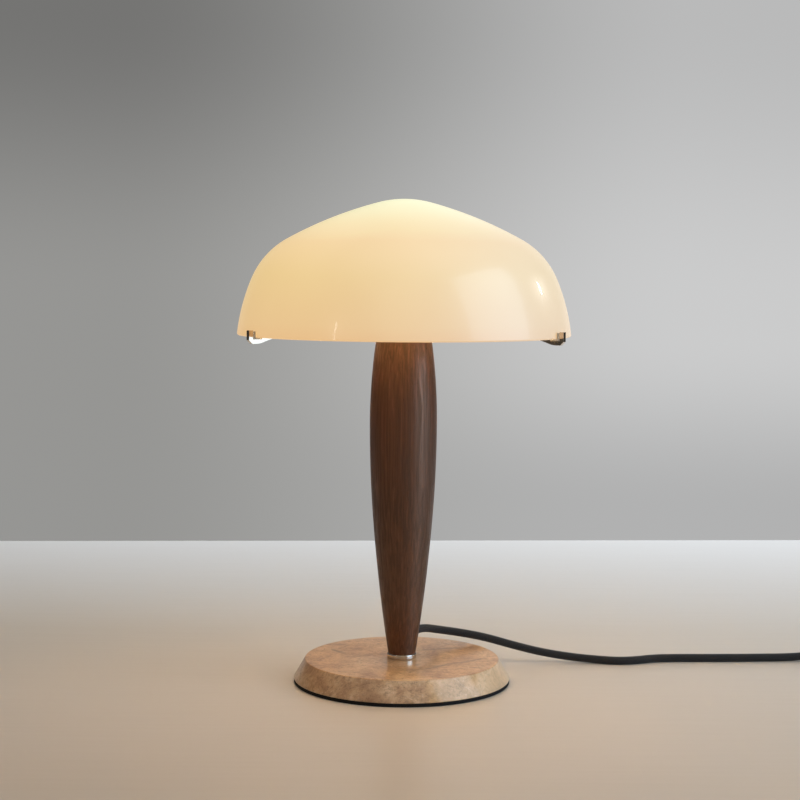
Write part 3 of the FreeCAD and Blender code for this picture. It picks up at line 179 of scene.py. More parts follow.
class Finish(Bench):
    """The material of one finish. What is the same all over goes on the shader's own sockets."""

    def __init__(self, name, **constants):
        self.name = name
        self.material = bpy.data.materials.new(name)
        self.material.use_nodes = True
        super().__init__(self.material.node_tree)
        self.shader = self.tree.nodes["Principled BSDF"]
        for words, value in constants.items():
            self.wear(words.replace("_", " "), value)

    def wear(self, socket, value):
        self.feed(self.shader.inputs[socket], value)

    def place(self, turn=(0, 0, 0), stretch=(1, 1, 1), centre=(0, 0, 0)):
        """Where a point of the piece is, in metres, turned or stretched for a pattern."""
        here = self.node("ShaderNodeTexCoord", {}, {}, "Object")
        fitted = {"Vector": here, "Location": centre, "Rotation": turn, "Scale": stretch}
        return self.node("ShaderNodeMapping", {"vector_type": "POINT"}, fitted)

    def clouds(self, where, scale, detail=3.0, roughness=0.5, distortion=0.0):
        """Noise between 0 and 1."""
        grain = {"Vector": where, "Scale": scale, "Detail": detail}
        grain.update({"Roughness": roughness, "Distortion": distortion})
        return self.node("ShaderNodeTexNoise", {}, grain)

    def shades(self, amount, *stops):
        """A run of colours along a number."""
        return self.node("ShaderNodeValToRGB", {"stops": stops}, {0: amount})

    def cover(self, amount, *shade):
        """Lays a shade over the finish's colour so far, as strongly as a number says."""
        self.colour = self.blend(amount, self.colour, paint(*shade))

    def relief(self, height, depth):
        """Gives the surface a fine relief, depth metres from its lowest to its highest place."""
        self.wear("Normal", self.node("ShaderNodeBump", {}, {"Height": height, "Distance": depth}, "Normal"))


def rounded(*corners, steps=5):
    """An outline in millimetres whose corners (radius, height, rounding) are rounded as on the real piece."""
    points = []
    for number, (radius, height, rounding) in enumerate(corners):
        corner = Vector((radius, height))
        if not rounding:
            points.append(corner)
            continue
        before = (Vector(corners[number - 1][:2]) - corner).normalized()
        after = (Vector(corners[(number + 1) % len(corners)][:2]) - corner).normalized()
        half = before.angle(after) / 2
        centre = corner + (before + after).normalized() * rounding / math.sin(half)
        first = corner + before * rounding / math.tan(half) - centre
        last = corner + after * rounding / math.tan(half) - centre
        start = math.atan2(first.y, first.x)
        sweep = (math.atan2(last.y, last.x) - start + math.pi) % math.tau - math.pi
        for step in range(steps + 1):
            angle = start + sweep * step / steps
            points.append(centre + Vector((math.cos(angle), math.sin(angle))) * rounding)
    return points


def as_mesh(name, shape):
    """A mesh made of a shape in the making."""
    mesh = bpy.data.meshes.new(name)
    shape.to_mesh(mesh)
    shape.free()
    return mesh


def turned(name, outline, around=96):
    """Turns a closed outline in millimetres round an upright axis, as a lathe does."""
    shape = bmesh.new()
    rings = []
    for radius, height in outline:
        turns = around if radius > 0.0001 else 1
        ring = []
        for step in range(turns):
            angle = math.tau * step / turns
            spot = Vector((math.cos(angle) * radius, math.sin(angle) * radius, height)) / 1000
            ring.append(shape.verts.new(spot))
        rings.append(ring)
    for number, ring in enumerate(rings):
        above = rings[(number + 1) % len(rings)]
        for step in range(max(len(ring), len(above))):
            corners = []
            for side, turn in ((ring, step), (ring, step + 1), (above, step + 1), (above, step)):
                corner = side[turn % len(side)]
                if corner not in corners:
                    corners.append(corner)
            if len(corners) > 2:
                shape.faces.new(corners)
    bmesh.ops.recalc_face_normals(shape, faces=shape.faces)
    return as_mesh(name, shape)


def fitted(name, mesh, finish, body, *nodes, slot=None, crease=35):
    """Puts a finished mesh in the scene, gives it its material, hangs it on its body and hides the nodes it
    stands for.

    The slot argument is not used.
    """
    piece = in_scene(name, mesh)
    mesh.materials.clear()
    mesh.materials.append(finish.material)
    if crease:
        mesh.shade_smooth()
        mesh.set_sharp_from_angle(angle=math.radians(crease))
    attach(piece, body)
    if nodes:
        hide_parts(*nodes)
    return piece


pad_rubber = Finish("pad_rubber", Roughness=0.85, Specular_IOR_Level=0.3)
pad_grain = pad_rubber.clouds(pad_rubber.place(), 1800.0, 2.0)
pad_shades = ((0.3, paint(16, 15, 15)), (0.75, paint(34, 32, 31)))
pad_rubber.wear("Base Color", pad_rubber.shades(pad_grain, *pad_shades))
pad_rubber.relief(pad_grain, 0.00012)
pad_outline = rounded((0, 0, 0), (91.9, 0, 0.5), (91.9, 3, 0.5), (0, 3, 0))
fitted("pad", turned("pad", pad_outline, 128), pad_rubber, "lamp", "base_pad")

# The foot: a disc of beige stone with sloping sides, sawn, turned and polished, with its top edge just broken
# and a recess underneath for the washers and the nut. Three long veins cross its top. The right half of its
# side is painted paler, a painted reflection, its left half darker, painted shade, and its top warmer,
# painted warm light.
stone = Finish("polished_stone", Coat_Weight=0.4, Coat_Roughness=0.09, IOR=1.5)
stone_place = stone.place()
mottling = stone.clouds(stone_place, 48.0, 7.0, 0.68, 0.6)
stone.colour = stone.shades(
    mottling,
    (0.33, paint(162, 123, 91)),
    (0.50, paint(199, 160, 121)),
    (0.66, paint(221, 187, 149)),
)
bed_turn = (0.25, 0.1, math.radians(24))
bed = stone.clouds(stone.place(bed_turn, (0.5, 2.6, 1.2)), 22.0, 4.0, 0.6, 0.5)
stone.cover(bed.ramp(0.52, 0.80) * 0.45, 164, 134, 110)
stone.cover(bed.ramp(0.46, 0.22) * 0.35, 226, 198, 166)
vein_place = stone.place(bed_turn, (0.35, 1.5, 1.0), (0.0, 0.02, 0.0))
vein_course = stone.clouds(vein_place, 19.0, 4.0, 0.5, 0.4)
vein_patches = stone.clouds(stone_place, 13.0, 1.0).ramp(0.47, 0.62)
vein = vein_course.near(0.52, 0.022) * 0.28 + vein_course.near(0.52, 0.005) * 0.42
stone.cover(vein * vein_patches, 118, 92, 74)
hair_place = stone.place(bed_turn, (0.4, 1.8, 1.0), (0.1, 0.3, 0.1))
hair_course = stone.clouds(hair_place, 44.0, 5.0, 0.6, 0.5)
hair = hair_course.near(0.5, 0.011)
stone.cover(hair * 0.42, 132, 104, 82)
pale_place = stone.place((1.1, 0.1, 0.2), (1.0, 1.0, 0.35), (0.3, 0.1, 0.2))
pale_vein = stone.clouds(pale_place, 15.0, 3.0).near(0.44, 0.006)
stone.cover(pale_vein * 0.35, 232, 208, 178)
specks = stone.clouds(stone_place, 330.0, 4.0, 0.72)
stone.cover(specks.ramp(0.53, 0.64) * 0.55, 132, 100, 74)
stone.cover(specks.ramp(0.44, 0.32) * 0.40, 234, 208, 178)
for way, line_start, line_offset, line_reach, wander in (
    (15.0, 0.016, 0.0223, 0.060, 0.010),
    (39.0, -0.020, -0.0452, 0.082, 0.012),
    (-59.0, -0.062, -0.0365, 0.036, 0.014),
):
    line_place = (-line_start, -line_offset, 0.0)
    line_spot = stone.place((0.0, 0.0, math.radians(-way)), (1, 1, 1), line_place)
    course = stone.clouds(line_spot, 34.0, 3.0, 0.55)
    line_along = stone.part(line_spot, 0)
    line_across = stone.part(line_spot, 1) + (course - 0.5) * wander
    line = line_across.near(0.0, 0.0048) * 0.40 + line_across.near(0.0, 0.0018) * 0.34
    line = line * line_along.ramp(0.0, 0.012) * (1 - line_along.ramp(line_reach - 0.02, line_reach))
    line = line * (mottling.ramp(0.36, 0.60) * 0.5 + 0.5)
    stone.cover(line, 112, 92, 78)
# Painted reflection: the right half of the foot's side is painted paler, where a bright wall mirrors in the
# polish.
on_side = 1 - stone.part(stone_place, 2).ramp(0.0188, 0.0200)
painted_light_across_foot = stone.part(stone_place, 0) + (mottling - 0.5) * 0.012
stone.cover(on_side * painted_light_across_foot.ramp(0.016, 0.026) * 0.30, 250, 200, 125)
stone.cover(on_side * painted_light_across_foot.ramp(0.056, 0.066) * 0.20, 250, 235, 215)
# Painted warm light: the top is tinted warmer, where the lamp's warm glow mirrors in the polish.
painted_warm_light_top = (1.08, 0.96, 0.80)
stone.colour = stone.blend(1 - on_side, stone.colour, painted_warm_light_top, "MULTIPLY")
# Painted shade: the left half of the foot's side is painted darker.
stone.cover(on_side * painted_light_across_foot.ramp(-0.006, -0.020) * 0.14, 118, 78, 46)
stone.wear("Base Color", stone.colour)
stone.wear("Roughness", 0.24 + mottling * 0.14)
stone.relief(specks + mottling, 0.00003)
stone_outline = rounded(
    (18, 3, 0.6),
    (92.3, 3, 0.5),
    (82.4, 20, 1.0),
    (5.2, 20, 0.4),
    (5.2, 12, 0),
    (18, 12, 0.6),
    steps=6,
)
fitted("stone", turned("stone", stone_outline, 192), stone, "lamp", "base_stone")

# The fixings under the stone: a flat washer, a split washer and a hexagon nut on the threaded tie tube, which
# runs up through ring and stem and clamps them. All are steel, plated with bright zinc.
def grained(
    name, dark, light, scale, detail=3.0, coarse=0.5, depth=0.0, rough=None, stretch=(1, 1, 1), **constants
):
    """A finish whose colour runs between two shades with a fine noise, and its relief or roughness too."""
    finish = Finish(name, **constants)
    finish.grain = finish.clouds(finish.place((0, 0, 0), stretch), scale, detail, coarse)
    shade_run = ((0.3, paint(*dark)), (0.7, paint(*light)))
    finish.wear("Base Color", finish.shades(finish.grain, *shade_run))
    if depth:
        finish.relief(finish.grain, depth)
    if rough:
        smoothest, spread = rough
        finish.wear("Roughness", smoothest + finish.grain * spread)
    return finish


tube_pitch = 0.001
zinc_light = (196, 198, 196)
plated_steel = grained("plated_steel", (150, 151, 150), zinc_light, 420.0, rough=(0.28, 0.2), Metallic=1.0)
tube_thread = (plated_steel.part(plated_steel.place(), 2) * (math.tau / tube_pitch)).sine()
plated_steel.relief(tube_thread * 0.5 + plated_steel.grain * 0.2, 0.00006)


def baked(blank):
    """The mesh that a helper object gives with its modifiers. The helper itself goes."""
    made = bpy.data.meshes.new_from_object(blank.evaluated_get(bpy.context.evaluated_depsgraph_get()))
    bpy.data.objects.remove(blank)
    return made


def eased(name, node, edge, finish, angle=30, slot=None):
    """A copy of a CAD piece whose edges are eased by edge millimetres, as filing and tumbling leave them."""
    source = frame["nodes"][node]
    shape = bmesh.new()
    shape.from_mesh(source.data)
    bmesh.ops.remove_doubles(shape, verts=shape.verts, dist=0.00001)
    bmesh.ops.dissolve_limit(shape, angle_limit=0.01, verts=shape.verts, edges=shape.edges)
    mesh = as_mesh(name, shape)
    mesh.shade_smooth()
    mesh.set_sharp_from_angle(angle=math.radians(angle))
    blank = in_scene(name + "_blank", mesh)
    easing = blank.modifiers.new("easing", "BEVEL")
    easing.width = edge / 1000
    easing.segments = 2
    easing.limit_method = "ANGLE"
    easing.angle_limit = math.radians(angle)
    easing.harden_normals = True
    done = baked(blank)
    done.name = name
    body = source.parent.name.removeprefix("body:")
    return fitted(name, done, finish, body, node, slot=slot, crease=None)


eased("washer", "base_washer", 0.15, plated_steel)
eased("split_washer", "base_spring_washer", 0.12, plated_steel)
eased("lower_nut", "base_nut", 0.2, plated_steel)
eased("tie_rod", "tie_tube", 0.1, plated_steel)

# The ring between stone and stem: turned brass, nickel plated and polished. It centres the stem and shows as
# a bright line under the wood. Its lathe marks run round it.
nickel_light = (230, 223, 213)
polished_nickel = grained(
    "polished_nickel", (206, 198, 186), nickel_light, 160.0, 4.0, 0.6, rough=(0.05, 0.08), Metallic=1.0
)
buffing = polished_nickel.clouds(polished_nickel.place((0, 0, 0), (1, 1, 14)), 700.0, 2.0)
polished_nickel.relief(buffing, 0.000004)
ring_outline = rounded((5.2, 20, 0), (12.5, 20, 0.7), (12.5, 24, 0.7), (5.2, 24, 0))
fitted("ring", turned("ring", ring_outline, 96), polished_nickel, "lamp", "stem_ring")


# The stem: one piece of walnut, turned to a slender vase that is widest in its upper half, bored through for
# the tie tube, with a flat seat and a hole low at the back for the cord. It is oiled and rubbed to a sheen.
class Rule(Bench):
    """A geometry recipe with named sizes, in metres unless the size is a number."""

    def __init__(self, name):
        super().__init__(bpy.data.node_groups.new(name, "GeometryNodeTree"))
        self.sizes = self.tree.nodes.new("NodeGroupInput")
        self.values = {}
        self.tree.interface.new_socket("Geometry", in_out="INPUT", socket_type="NodeSocketGeometry")
        self.tree.interface.new_socket("Geometry", in_out="OUTPUT", socket_type="NodeSocketGeometry")

    def size(self, name, value, kind="NodeSocketFloat"):
        """Adds a named size and hands back its wire."""
        asked = self.tree.interface.new_socket(name, in_out="INPUT", socket_type=kind)
        self.values[asked.identifier] = value
        return Wire(self, self.sizes.outputs[name])

    def vector(self, x=0.0, y=0.0, z=0.0):
        return self.node("ShaderNodeCombineXYZ", {}, {0: x, 1: y, 2: z})

    def circle(self, facets, radius):
        """A circle as a curve."""
        kind = {"mode": "RADIUS"}
        return self.node("GeometryNodeCurvePrimitiveCircle", kind, {"Resolution": facets, "Radius": radius})

    def cylinder(self, facets, radius, depth):
        """A closed cylinder round the upright axis, with its middle at the origin."""
        size = {"Vertices": facets, "Radius": radius, "Depth": depth}
        return self.node("GeometryNodeMeshCylinder", {}, size)

    def moved(self, mesh, to=(0, 0, 0), turn=(0, 0, 0)):
        """A mesh that is turned and then moved."""
        placed = {"Geometry": mesh, "Translation": to, "Rotation": turn}
        return self.node("GeometryNodeTransform", {}, placed)

    def cut(self, mesh, tool):
        """A mesh from which a tool's shape is taken away."""
        pair = {"Mesh 1": mesh, "Mesh 2": tool}
        return self.node("GeometryNodeMeshBoolean", {"operation": "DIFFERENCE"}, pair)

    def row(self, count, spot):
        """A row of points, each where spot says."""
        points = self.node("GeometryNodeMeshLine", {"mode": "OFFSET"}, {"Count": count, "Offset": (0, 0, 0)})
        return self.node("GeometryNodeSetPosition", {}, {"Geometry": points, "Position": spot})

    def copies(self, points, mesh, scale=(1, 1, 1)):
        """A copy of a mesh at each point."""
        placed = {"Points": points, "Instance": mesh, "Scale": scale}
        return self.node("GeometryNodeInstanceOnPoints", {}, placed)

    def swept(self, line, section, caps=False):
        """A section swept along a line."""
        run = {"Curve": line, "Profile Curve": section, "Fill Caps": caps}
        return self.node("GeometryNodeCurveToMesh", {}, run)

    def joined(self, *meshes):
        """Several meshes as one."""
        made = self.tree.nodes.new("GeometryNodeJoinGeometry")
        for mesh in meshes:
            self.tree.links.new(mesh.socket, made.inputs[0])
        return Wire(self, made.outputs[0])

    def mesh(self, result, finish):
        """Ends the recipe with real geometry and its material, runs it and hands back a plain mesh."""
        real = self.node("GeometryNodeRealizeInstances", {}, {0: result})
        coated = self.node("GeometryNodeSetMaterial", {}, {"Geometry": real, "Material": finish.material})
        end = self.tree.nodes.new("NodeGroupOutput")
        self.tree.links.new(coated.socket, end.inputs[0])
        blank = in_scene(self.tree.name + "_blank", bpy.data.meshes.new(self.tree.name))
        recipe = blank.modifiers.new("recipe", "NODES")
        recipe.node_group = self.tree
        for identifier, value in self.values.items():
            recipe[identifier] = value
        made = baked(blank)
        made.name = self.tree.name
        return made


stem_rule = Rule("stem")
stem_foot = stem_rule.size("Foot height", 0.024)
stem_length = stem_rule.size("Length", 0.272)
widest_radius = stem_rule.size("Widest radius", 0.0284)
widest_height = stem_rule.size("Widest height", 0.221)
waist_height = stem_rule.size("Height of the lower curve", 0.141)
upper_bend = stem_rule.size("Radius of the upper curve", 0.498)
middle_bend = stem_rule.size("Radius of the middle curve", 1.037)
lower_bend = stem_rule.size("Radius of the lower curve", 1.509)
edge_round = stem_rule.size("Rounding of the top edge", 0.0008)
bore_radius = stem_rule.size("Bore radius", 0.0051)
outlet_height = stem_rule.size("Outlet height", 0.038)
outlet_turn = stem_rule.size("Outlet direction", math.radians(65.0))
seat_start = stem_rule.size("Outlet seat from the axis", 0.0122)
seat_radius = stem_rule.size("Outlet seat radius", 0.0063)
hole_radius = stem_rule.size("Outlet hole radius", 0.0041)
around = stem_rule.size("Facets round", 160, "NodeSocketInt")
up_steps = stem_rule.size("Facets up", 180, "NodeSocketInt")
round_blank = {"Vertices": around, "Side Segments": up_steps, "Radius": 1.0, "Depth": 1.0}
blank_stem = stem_rule.node("GeometryNodeMeshCylinder", {"fill_type": "NGON"}, round_blank)
spot = stem_rule.node("GeometryNodeInputPosition")
spot_x, spot_y, spot_z = (stem_rule.part(spot, axis) for axis in range(3))
share = spot_z + 0.5
height = stem_foot + stem_length * (share * (2 - share) * 0.4 + share * 0.6)
rise = height - widest_height
above_radius = widest_radius - upper_bend + (upper_bend * upper_bend - rise * rise).root()
middle_radius = widest_radius - middle_bend + (middle_bend * middle_bend - rise * rise).root()
bend_share = lower_bend / middle_bend
drop = waist_height - widest_height
waist_reach = (middle_bend * middle_bend - drop * drop).root()
lower_centre_height = waist_height - drop * bend_share
lower_centre_radius = widest_radius - middle_bend + waist_reach - waist_reach * bend_share
lower_rise = height - lower_centre_height
below_radius = lower_centre_radius + (lower_bend * lower_bend - lower_rise * lower_rise).root()
is_above = rise.over(0.0)
is_below = (waist_height - height).over(0.0)
is_middle = 1 - is_above - is_below
turned_radius = above_radius * is_above + middle_radius * is_middle + below_radius * is_below
edge_depth = (edge_round - (stem_foot + stem_length - height)) / edge_round
edge_depth = stem_rule.node("ShaderNodeClamp", {}, {0: edge_depth})
turned_radius = turned_radius - edge_round * (1 - (1 - edge_depth * edge_depth).root())
stem_spot = stem_rule.vector(spot_x * turned_radius, spot_y * turned_radius, height)
stem_blank = stem_rule.node("GeometryNodeSetPosition", {}, {"Geometry": blank_stem, "Position": stem_spot})
bore_middle = stem_rule.vector(0.0, 0.0, stem_foot + stem_length / 2)
bore = stem_rule.cylinder(48, bore_radius, stem_length * 1.1)
drills = [stem_rule.moved(bore, bore_middle)]
level = stem_rule.vector(0.0, math.pi / 2, outlet_turn)
for drill_radius, drill_start, drill_length in ((seat_radius, seat_start, 0.01), (hole_radius, 0.002, 0.02)):
    drill = stem_rule.cylinder(48, drill_radius, drill_length)
    reach = drill_start + drill_length / 2
    across = outlet_turn.cosine() * reach
    along = outlet_turn.sine() * reach
    drill_middle = stem_rule.vector(across, along, outlet_height)
    drills.append(stem_rule.moved(drill, drill_middle, level))
for drill in drills:
    stem_blank = stem_rule.cut(stem_blank, drill)

walnut = Finish("walnut", IOR=1.62, Specular_IOR_Level=1.0, Specular_Tint=(1.0, 0.62, 0.42))
grain_turn = (0.0, math.radians(-5.0), 0.0)
figure_place = walnut.place(grain_turn, (1.0, 1.0, 0.10), (0.03, -0.05, 0.4))
figure = walnut.clouds(figure_place, 55.0, 3.0, 0.5, 0.4)
walnut.colour = walnut.shades(
    figure,
    (0.25, paint(57, 33, 24)),
    (0.50, paint(72, 42, 30)),
    (0.75, paint(90, 53, 37)),
)
lines_place = walnut.place(grain_turn, (1.0, 1.0, 0.02), (0.015, -0.02, 0.0))
lines = walnut.clouds(lines_place, 620.0, 2.0, 0.5, 0.5)
walnut.cover(lines.ramp(0.48, 0.60) * 0.72, 44, 27, 20)
walnut.cover(lines.ramp(0.42, 0.33) * 0.55, 116, 74, 57)
fibre_place = walnut.place(grain_turn, (1.0, 1.0, 0.016), (0.005, 0.02, 0.0))
fibre = walnut.clouds(fibre_place, 1400.0, 2.0, 0.6)
walnut.cover(fibre.ramp(0.52, 0.70) * 0.4, 38, 22, 16)
pores_place = walnut.place(grain_turn, (1.0, 1.0, 0.03), (0.015, -0.02, 0.0))
pores = walnut.clouds(pores_place, 2800.0, 1.0).ramp(0.62, 0.70)
walnut.cover(pores * 0.5, 26, 15, 11)
# Painted shade: the stem is painted darker towards its foot.
painted_shade_below = 1 - walnut.part(walnut.place(), 2).ramp(0.11, 0.25)
walnut.cover(painted_shade_below * 0.38, 26, 15, 11)
walnut.wear("Base Color", walnut.colour)
walnut.wear("Roughness", 0.31 + figure * 0.10 + pores * 0.2 + lines.ramp(0.44, 0.58) * 0.20)
walnut.relief(fibre * 0.45 + lines * 0.4 - pores * 0.55, 0.00012)
fitted("walnut_stem", stem_rule.mesh(stem_blank, walnut), walnut, "lamp", "stem", crease=40)

# The cord's strain relief: a tapered sleeve moulded of soft black plastic, with a collar that sits in the
# stem's seat, a plug pushed into the hole and rings that let it bend with the cord.
black_moulding = grained("black_moulding", (20, 19, 19), (33, 32, 32), 1500.0, depth=0.00005, Roughness=0.6)


def ribbed(name, start, length, root, tip, count, rib, place, sleeve):
    """A tapered sleeve with rings round it, in metres along its axis, joined to its turned core."""
    rule = Rule(name)
    first = rule.size("First ring from the foot", start)
    run = rule.size("Length with rings", length)
    wide = rule.size("Radius at the foot", root)
    narrow = rule.size("Radius at the tip", tip)
    rings = rule.size("Rings", count, "NodeSocketInt")
    bead = rule.size("Radius of a ring's bead", rib)
    share = rule.node("GeometryNodeInputIndex") / (rings - 1)
    row = rule.row(rings, rule.vector(0.0, 0.0, first + run * share))
    width = wide + (narrow - wide) * share
    hoops = rule.copies(row, rule.circle(40, 1.0), rule.vector(width, width, 1.0))
    hoops = rule.node("GeometryNodeRealizeInstances", {}, {0: hoops})
    mesh = rule.mesh(rule.swept(hoops, rule.circle(10, bead)), black_moulding)
    shape = bmesh.new()
    shape.from_mesh(mesh)
    shape.from_mesh(sleeve)
    shape.to_mesh(mesh)
    shape.free()
    mesh.transform(place)
    return mesh


def laid_along(spot, way):
    """Turns a piece made round the upright axis so that it points level in one direction, from a spot."""
    return Matrix.Translation(spot) @ Matrix.Rotation(way, 4, "Z") @ Matrix.Rotation(math.pi / 2, 4, "Y")


outlet_way = math.radians(65.0)
outlet_rise = 0.038
relief_axis = laid_along((0, 0, outlet_rise), outlet_way)
relief_outline = rounded(
    (0, 6.2, 0),
    (4, 6.2, 0.6),
    (4, 12.2, 0),
    (6, 12.2, 0.3),
    (6, 14, 0.6),
    (4.75, 14, 0.3),
    (3.85, 26.2, 0.4),
    (0, 26.2, 0),
)
relief_core = turned("relief_core", relief_outline, 40)
relief_sizes = (0.0155, 0.0096, 0.0047, 0.0038, 6, 0.00048)
relief_mesh = ribbed("relief", *relief_sizes, relief_axis, relief_core)
fitted("relief", relief_mesh, black_moulding, "lamp", "cord_relief", crease=50)

# The two conductors: brown and blue plastic over copper, from the cord through the tube's window up to the
# terminals of the lampholder. They lie side by side in the tube.
for colour_name, node_name, deep, bright in (
    ("brown", "core_live", (70, 40, 24), (98, 58, 36)),
    ("blue", "core_neutral", (24, 54, 112), (40, 78, 148)),
):
    drawn = {"stretch": (1, 1, 0.1), "Roughness": 0.42}
    insulation = grained("core_" + colour_name, deep, bright, 700.0, 2.0, **drawn)
    eased("conductor_" + colour_name, node_name, 0.05, insulation, 60)

# The hub on the stem: a round plate with a nut on the tie tube above it. Three arms are screwed to the plate,
# each with two small screws, and bend down and out to a claw for the rim. All are nickel plated and polished.
eased("hub", "hub_plate", 0.25, polished_nickel)
eased("upper_nut", "hub_nut", 0.25, plated_steel)
claw_light = (224, 203, 178)
claw_nickel = grained(
    "claw_nickel", (198, 176, 154), claw_light, 220.0, 4.0, 0.6, rough=(0.06, 0.08), Metallic=1.0
)
for side in ("rear", "left", "right"):
    eased("claw_" + side, "claw_arm_" + side, 0.4, claw_nickel, 28, "polished_nickel")

screw_light = (206, 200, 190)
nickel_screws = grained(
    "nickel_screws", (150, 144, 134), screw_light, 900.0, rough=(0.16, 0.16), Metallic=1.0
)
screw_rule = Rule("arm_screws")
inner_circle = screw_rule.size("Inner screws from the axis", 0.0129)
screw_pitch = screw_rule.size("Distance between an arm's screws", 0.0059)
first_way = screw_rule.size("Direction of the rear arm", math.radians(91.5))
arm_count = screw_rule.size("Arms", 3, "NodeSocketInt")
socket_radius = screw_rule.size("Hexagon socket radius", 0.00115)
screw_outline = rounded((0, 0, 0), (1.5, 0, 0.3), (1.5, 6, 0), (2.7, 6, 0.15), (2.7, 7.8, 0.9), (0, 7.8, 0))
screw_top = (0.0, 0.0, 0.0078)
screw_foot = (0.0, 0.0, 0.296)
screw_blank = in_scene("screw_blank", turned("screw_blank", screw_outline, 32))
screw = screw_rule.node("GeometryNodeObjectInfo", {}, {"Object": screw_blank}, "Geometry")
key_hole = screw_rule.moved(screw_rule.cylinder(6, socket_radius, 0.0024), screw_top)
screw = screw_rule.cut(screw, key_hole)
circles = []
for circle_radius in (inner_circle, inner_circle + screw_pitch):
    circle_size = {"Vertices": arm_count, "Radius": circle_radius}
    circles.append(screw_rule.node("GeometryNodeMeshCircle", {}, circle_size))
seats_turn = screw_rule.vector(0.0, 0.0, first_way)
seats = screw_rule.moved(screw_rule.joined(*circles), screw_foot, seats_turn)
screw_mesh = screw_rule.mesh(screw_rule.copies(seats, screw), nickel_screws)
bpy.data.objects.remove(screw_blank)
fitted("arm_screw_set", screw_mesh, nickel_screws, "lamp", "arm_screws")

# The saddles: small angles of milky silicone pressed into the claws, so that the glass doesn't touch metal.
# A little light comes through them.
silicone_optics = {"Roughness": 0.4, "IOR": 1.41, "Transmission_Weight": 0.45, "Specular_IOR_Level": 0.2}
clear_silicone = grained("clear_silicone", (232, 222, 204), (244, 236, 222), 300.0, 2.0, **silicone_optics)
eased("saddles", "rim_saddles", 0.15, clear_silicone)

# The shade: opal glass blown into a mould, a flat dome with a round shoulder and a nearly upright wall, open
# below with its rim ground and fire-polished. It stands loose on the claws and glows with the bulb inside,
# most at the top. Its glow is painted cooler and dimmer at the right and brighter at the left: painted light.
glass_optics = {"Roughness": 0.3, "IOR": 1.5, "Coat_Weight": 0.2, "Coat_Roughness": 0.05}
opal_glass = Finish("opal_glass", Emission_Strength=0.762, **glass_optics)
glass_place = opal_glass.place()
glass_clouds = opal_glass.clouds(glass_place, 14.0, 2.0, 0.4)
glass_shades = ((0.3, paint(176, 170, 160)), (0.7, paint(184, 178, 168)))
opal_glass.wear("Base Color", opal_glass.shades(glass_clouds, *glass_shades))
glass_height = opal_glass.part(glass_place, 2)
rim_height = 0.2953
shade_height = 0.1138
glow_height = (glass_height - rim_height) / shade_height
glow = opal_glass.shades(
    glow_height + (glass_clouds - 0.5) * 0.05,
    (0.00, paint(234, 184, 120)),
    (0.10, paint(236, 192, 127)),
    (0.45, paint(239, 200, 127)),
    (0.68, paint(244, 203, 133)),
    (0.82, paint(252, 226, 162)),
    (1.00, paint(255, 254, 200)),
)
painted_side_light_on_glass = opal_glass.part(glass_place, 0)
# Painted light: the glow is painted cooler and dimmer at the right and brighter at the left.
glow = opal_glass.blend(painted_side_light_on_glass.ramp(-0.01, 0.12), glow, (0.865, 0.91, 1.06), "MULTIPLY")
glow = opal_glass.blend(painted_side_light_on_glass.ramp(-0.02, -0.09), glow, (1.05, 1.07, 1.10), "MULTIPLY")
opal_glass.wear("Emission Color", glow)
ripple = opal_glass.clouds(opal_glass.place((0, 0, 0), (1, 1, 0.35)), 9.0, 1.0)
opal_glass.relief(ripple, 0.0004)


def glass_wall(inset, rim_slope, steps):
    """The dome's outline from rim to top, inset millimetres inside the glass: four arcs in one line."""
    arcs = (
        (-24.661, 277.681, 165.80, rim_slope, 66.8),
        (65.506, 316.327, 67.70, 66.8, 28.9),
        (-65.334, 79.310, 338.43, 28.9, 15.0),
        (0.0, 323.142, 86.00, 15.0, 0.0),
    )
    points = []
    for centre_radius, centre_height, bend, start, end in arcs:
        for step in range(steps):
            slope = math.radians(start + (end - start) * step / steps)
            arm = Vector((math.sin(slope), math.cos(slope))) * (bend - inset)
            points.append(Vector((centre_radius, centre_height)) + arm)
    points.append(Vector((0.0, centre_height + bend - inset)))
    return points


glass_thickness = 3.5
outer_wall = glass_wall(0.0, 83.48, 16)
inner_wall = glass_wall(glass_thickness, 83.34, 12)
rim_foot = rounded((*inner_wall[0], 0), (136.76, 295.3, 1.2), (140.2, 295.3, 1.2), (*outer_wall[0], 0))[1:-1]
shade_mesh = turned("shade", inner_wall[::-1] + rim_foot + outer_wall, 192)
fitted("shade", shade_mesh, opal_glass, "shade", "shade_glass", crease=60)

# The lampholder: a cap and an outer sleeve of black moulded plastic round a contact block of white steatite,
# with a brass screw shell, a spring contact in the middle and two brass terminal posts underneath.
holder_plastic = grained("holder_plastic", (21, 20, 20), (31, 30, 29), 1300.0, depth=0.00003, Roughness=0.42)
glazed = {"depth": 0.00004, "Roughness": 0.35, "Coat_Weight": 0.3}
steatite = grained("steatite", (221, 214, 200), (240, 236, 226), 420.0, 4.0, **glazed)
brass_light = (212, 172, 98)
contact_brass = grained("contact_brass", (172, 132, 68), brass_light, 600.0, rough=(0.24, 0.2), Metallic=1.0)
eased("lampholder_cap", "holder_cap", 0.3, holder_plastic)
eased("lampholder_sleeve", "holder_skirt", 0.3, holder_plastic)
eased("lampholder_block", "holder_insert", 0.2, steatite)
eased("lampholder_shell", "holder_shell", 0.08, contact_brass)
eased("lampholder_contact", "holder_contact", 0.12, contact_brass)
eased("lampholder_terminals", "holder_terminals", 0.12, contact_brass)

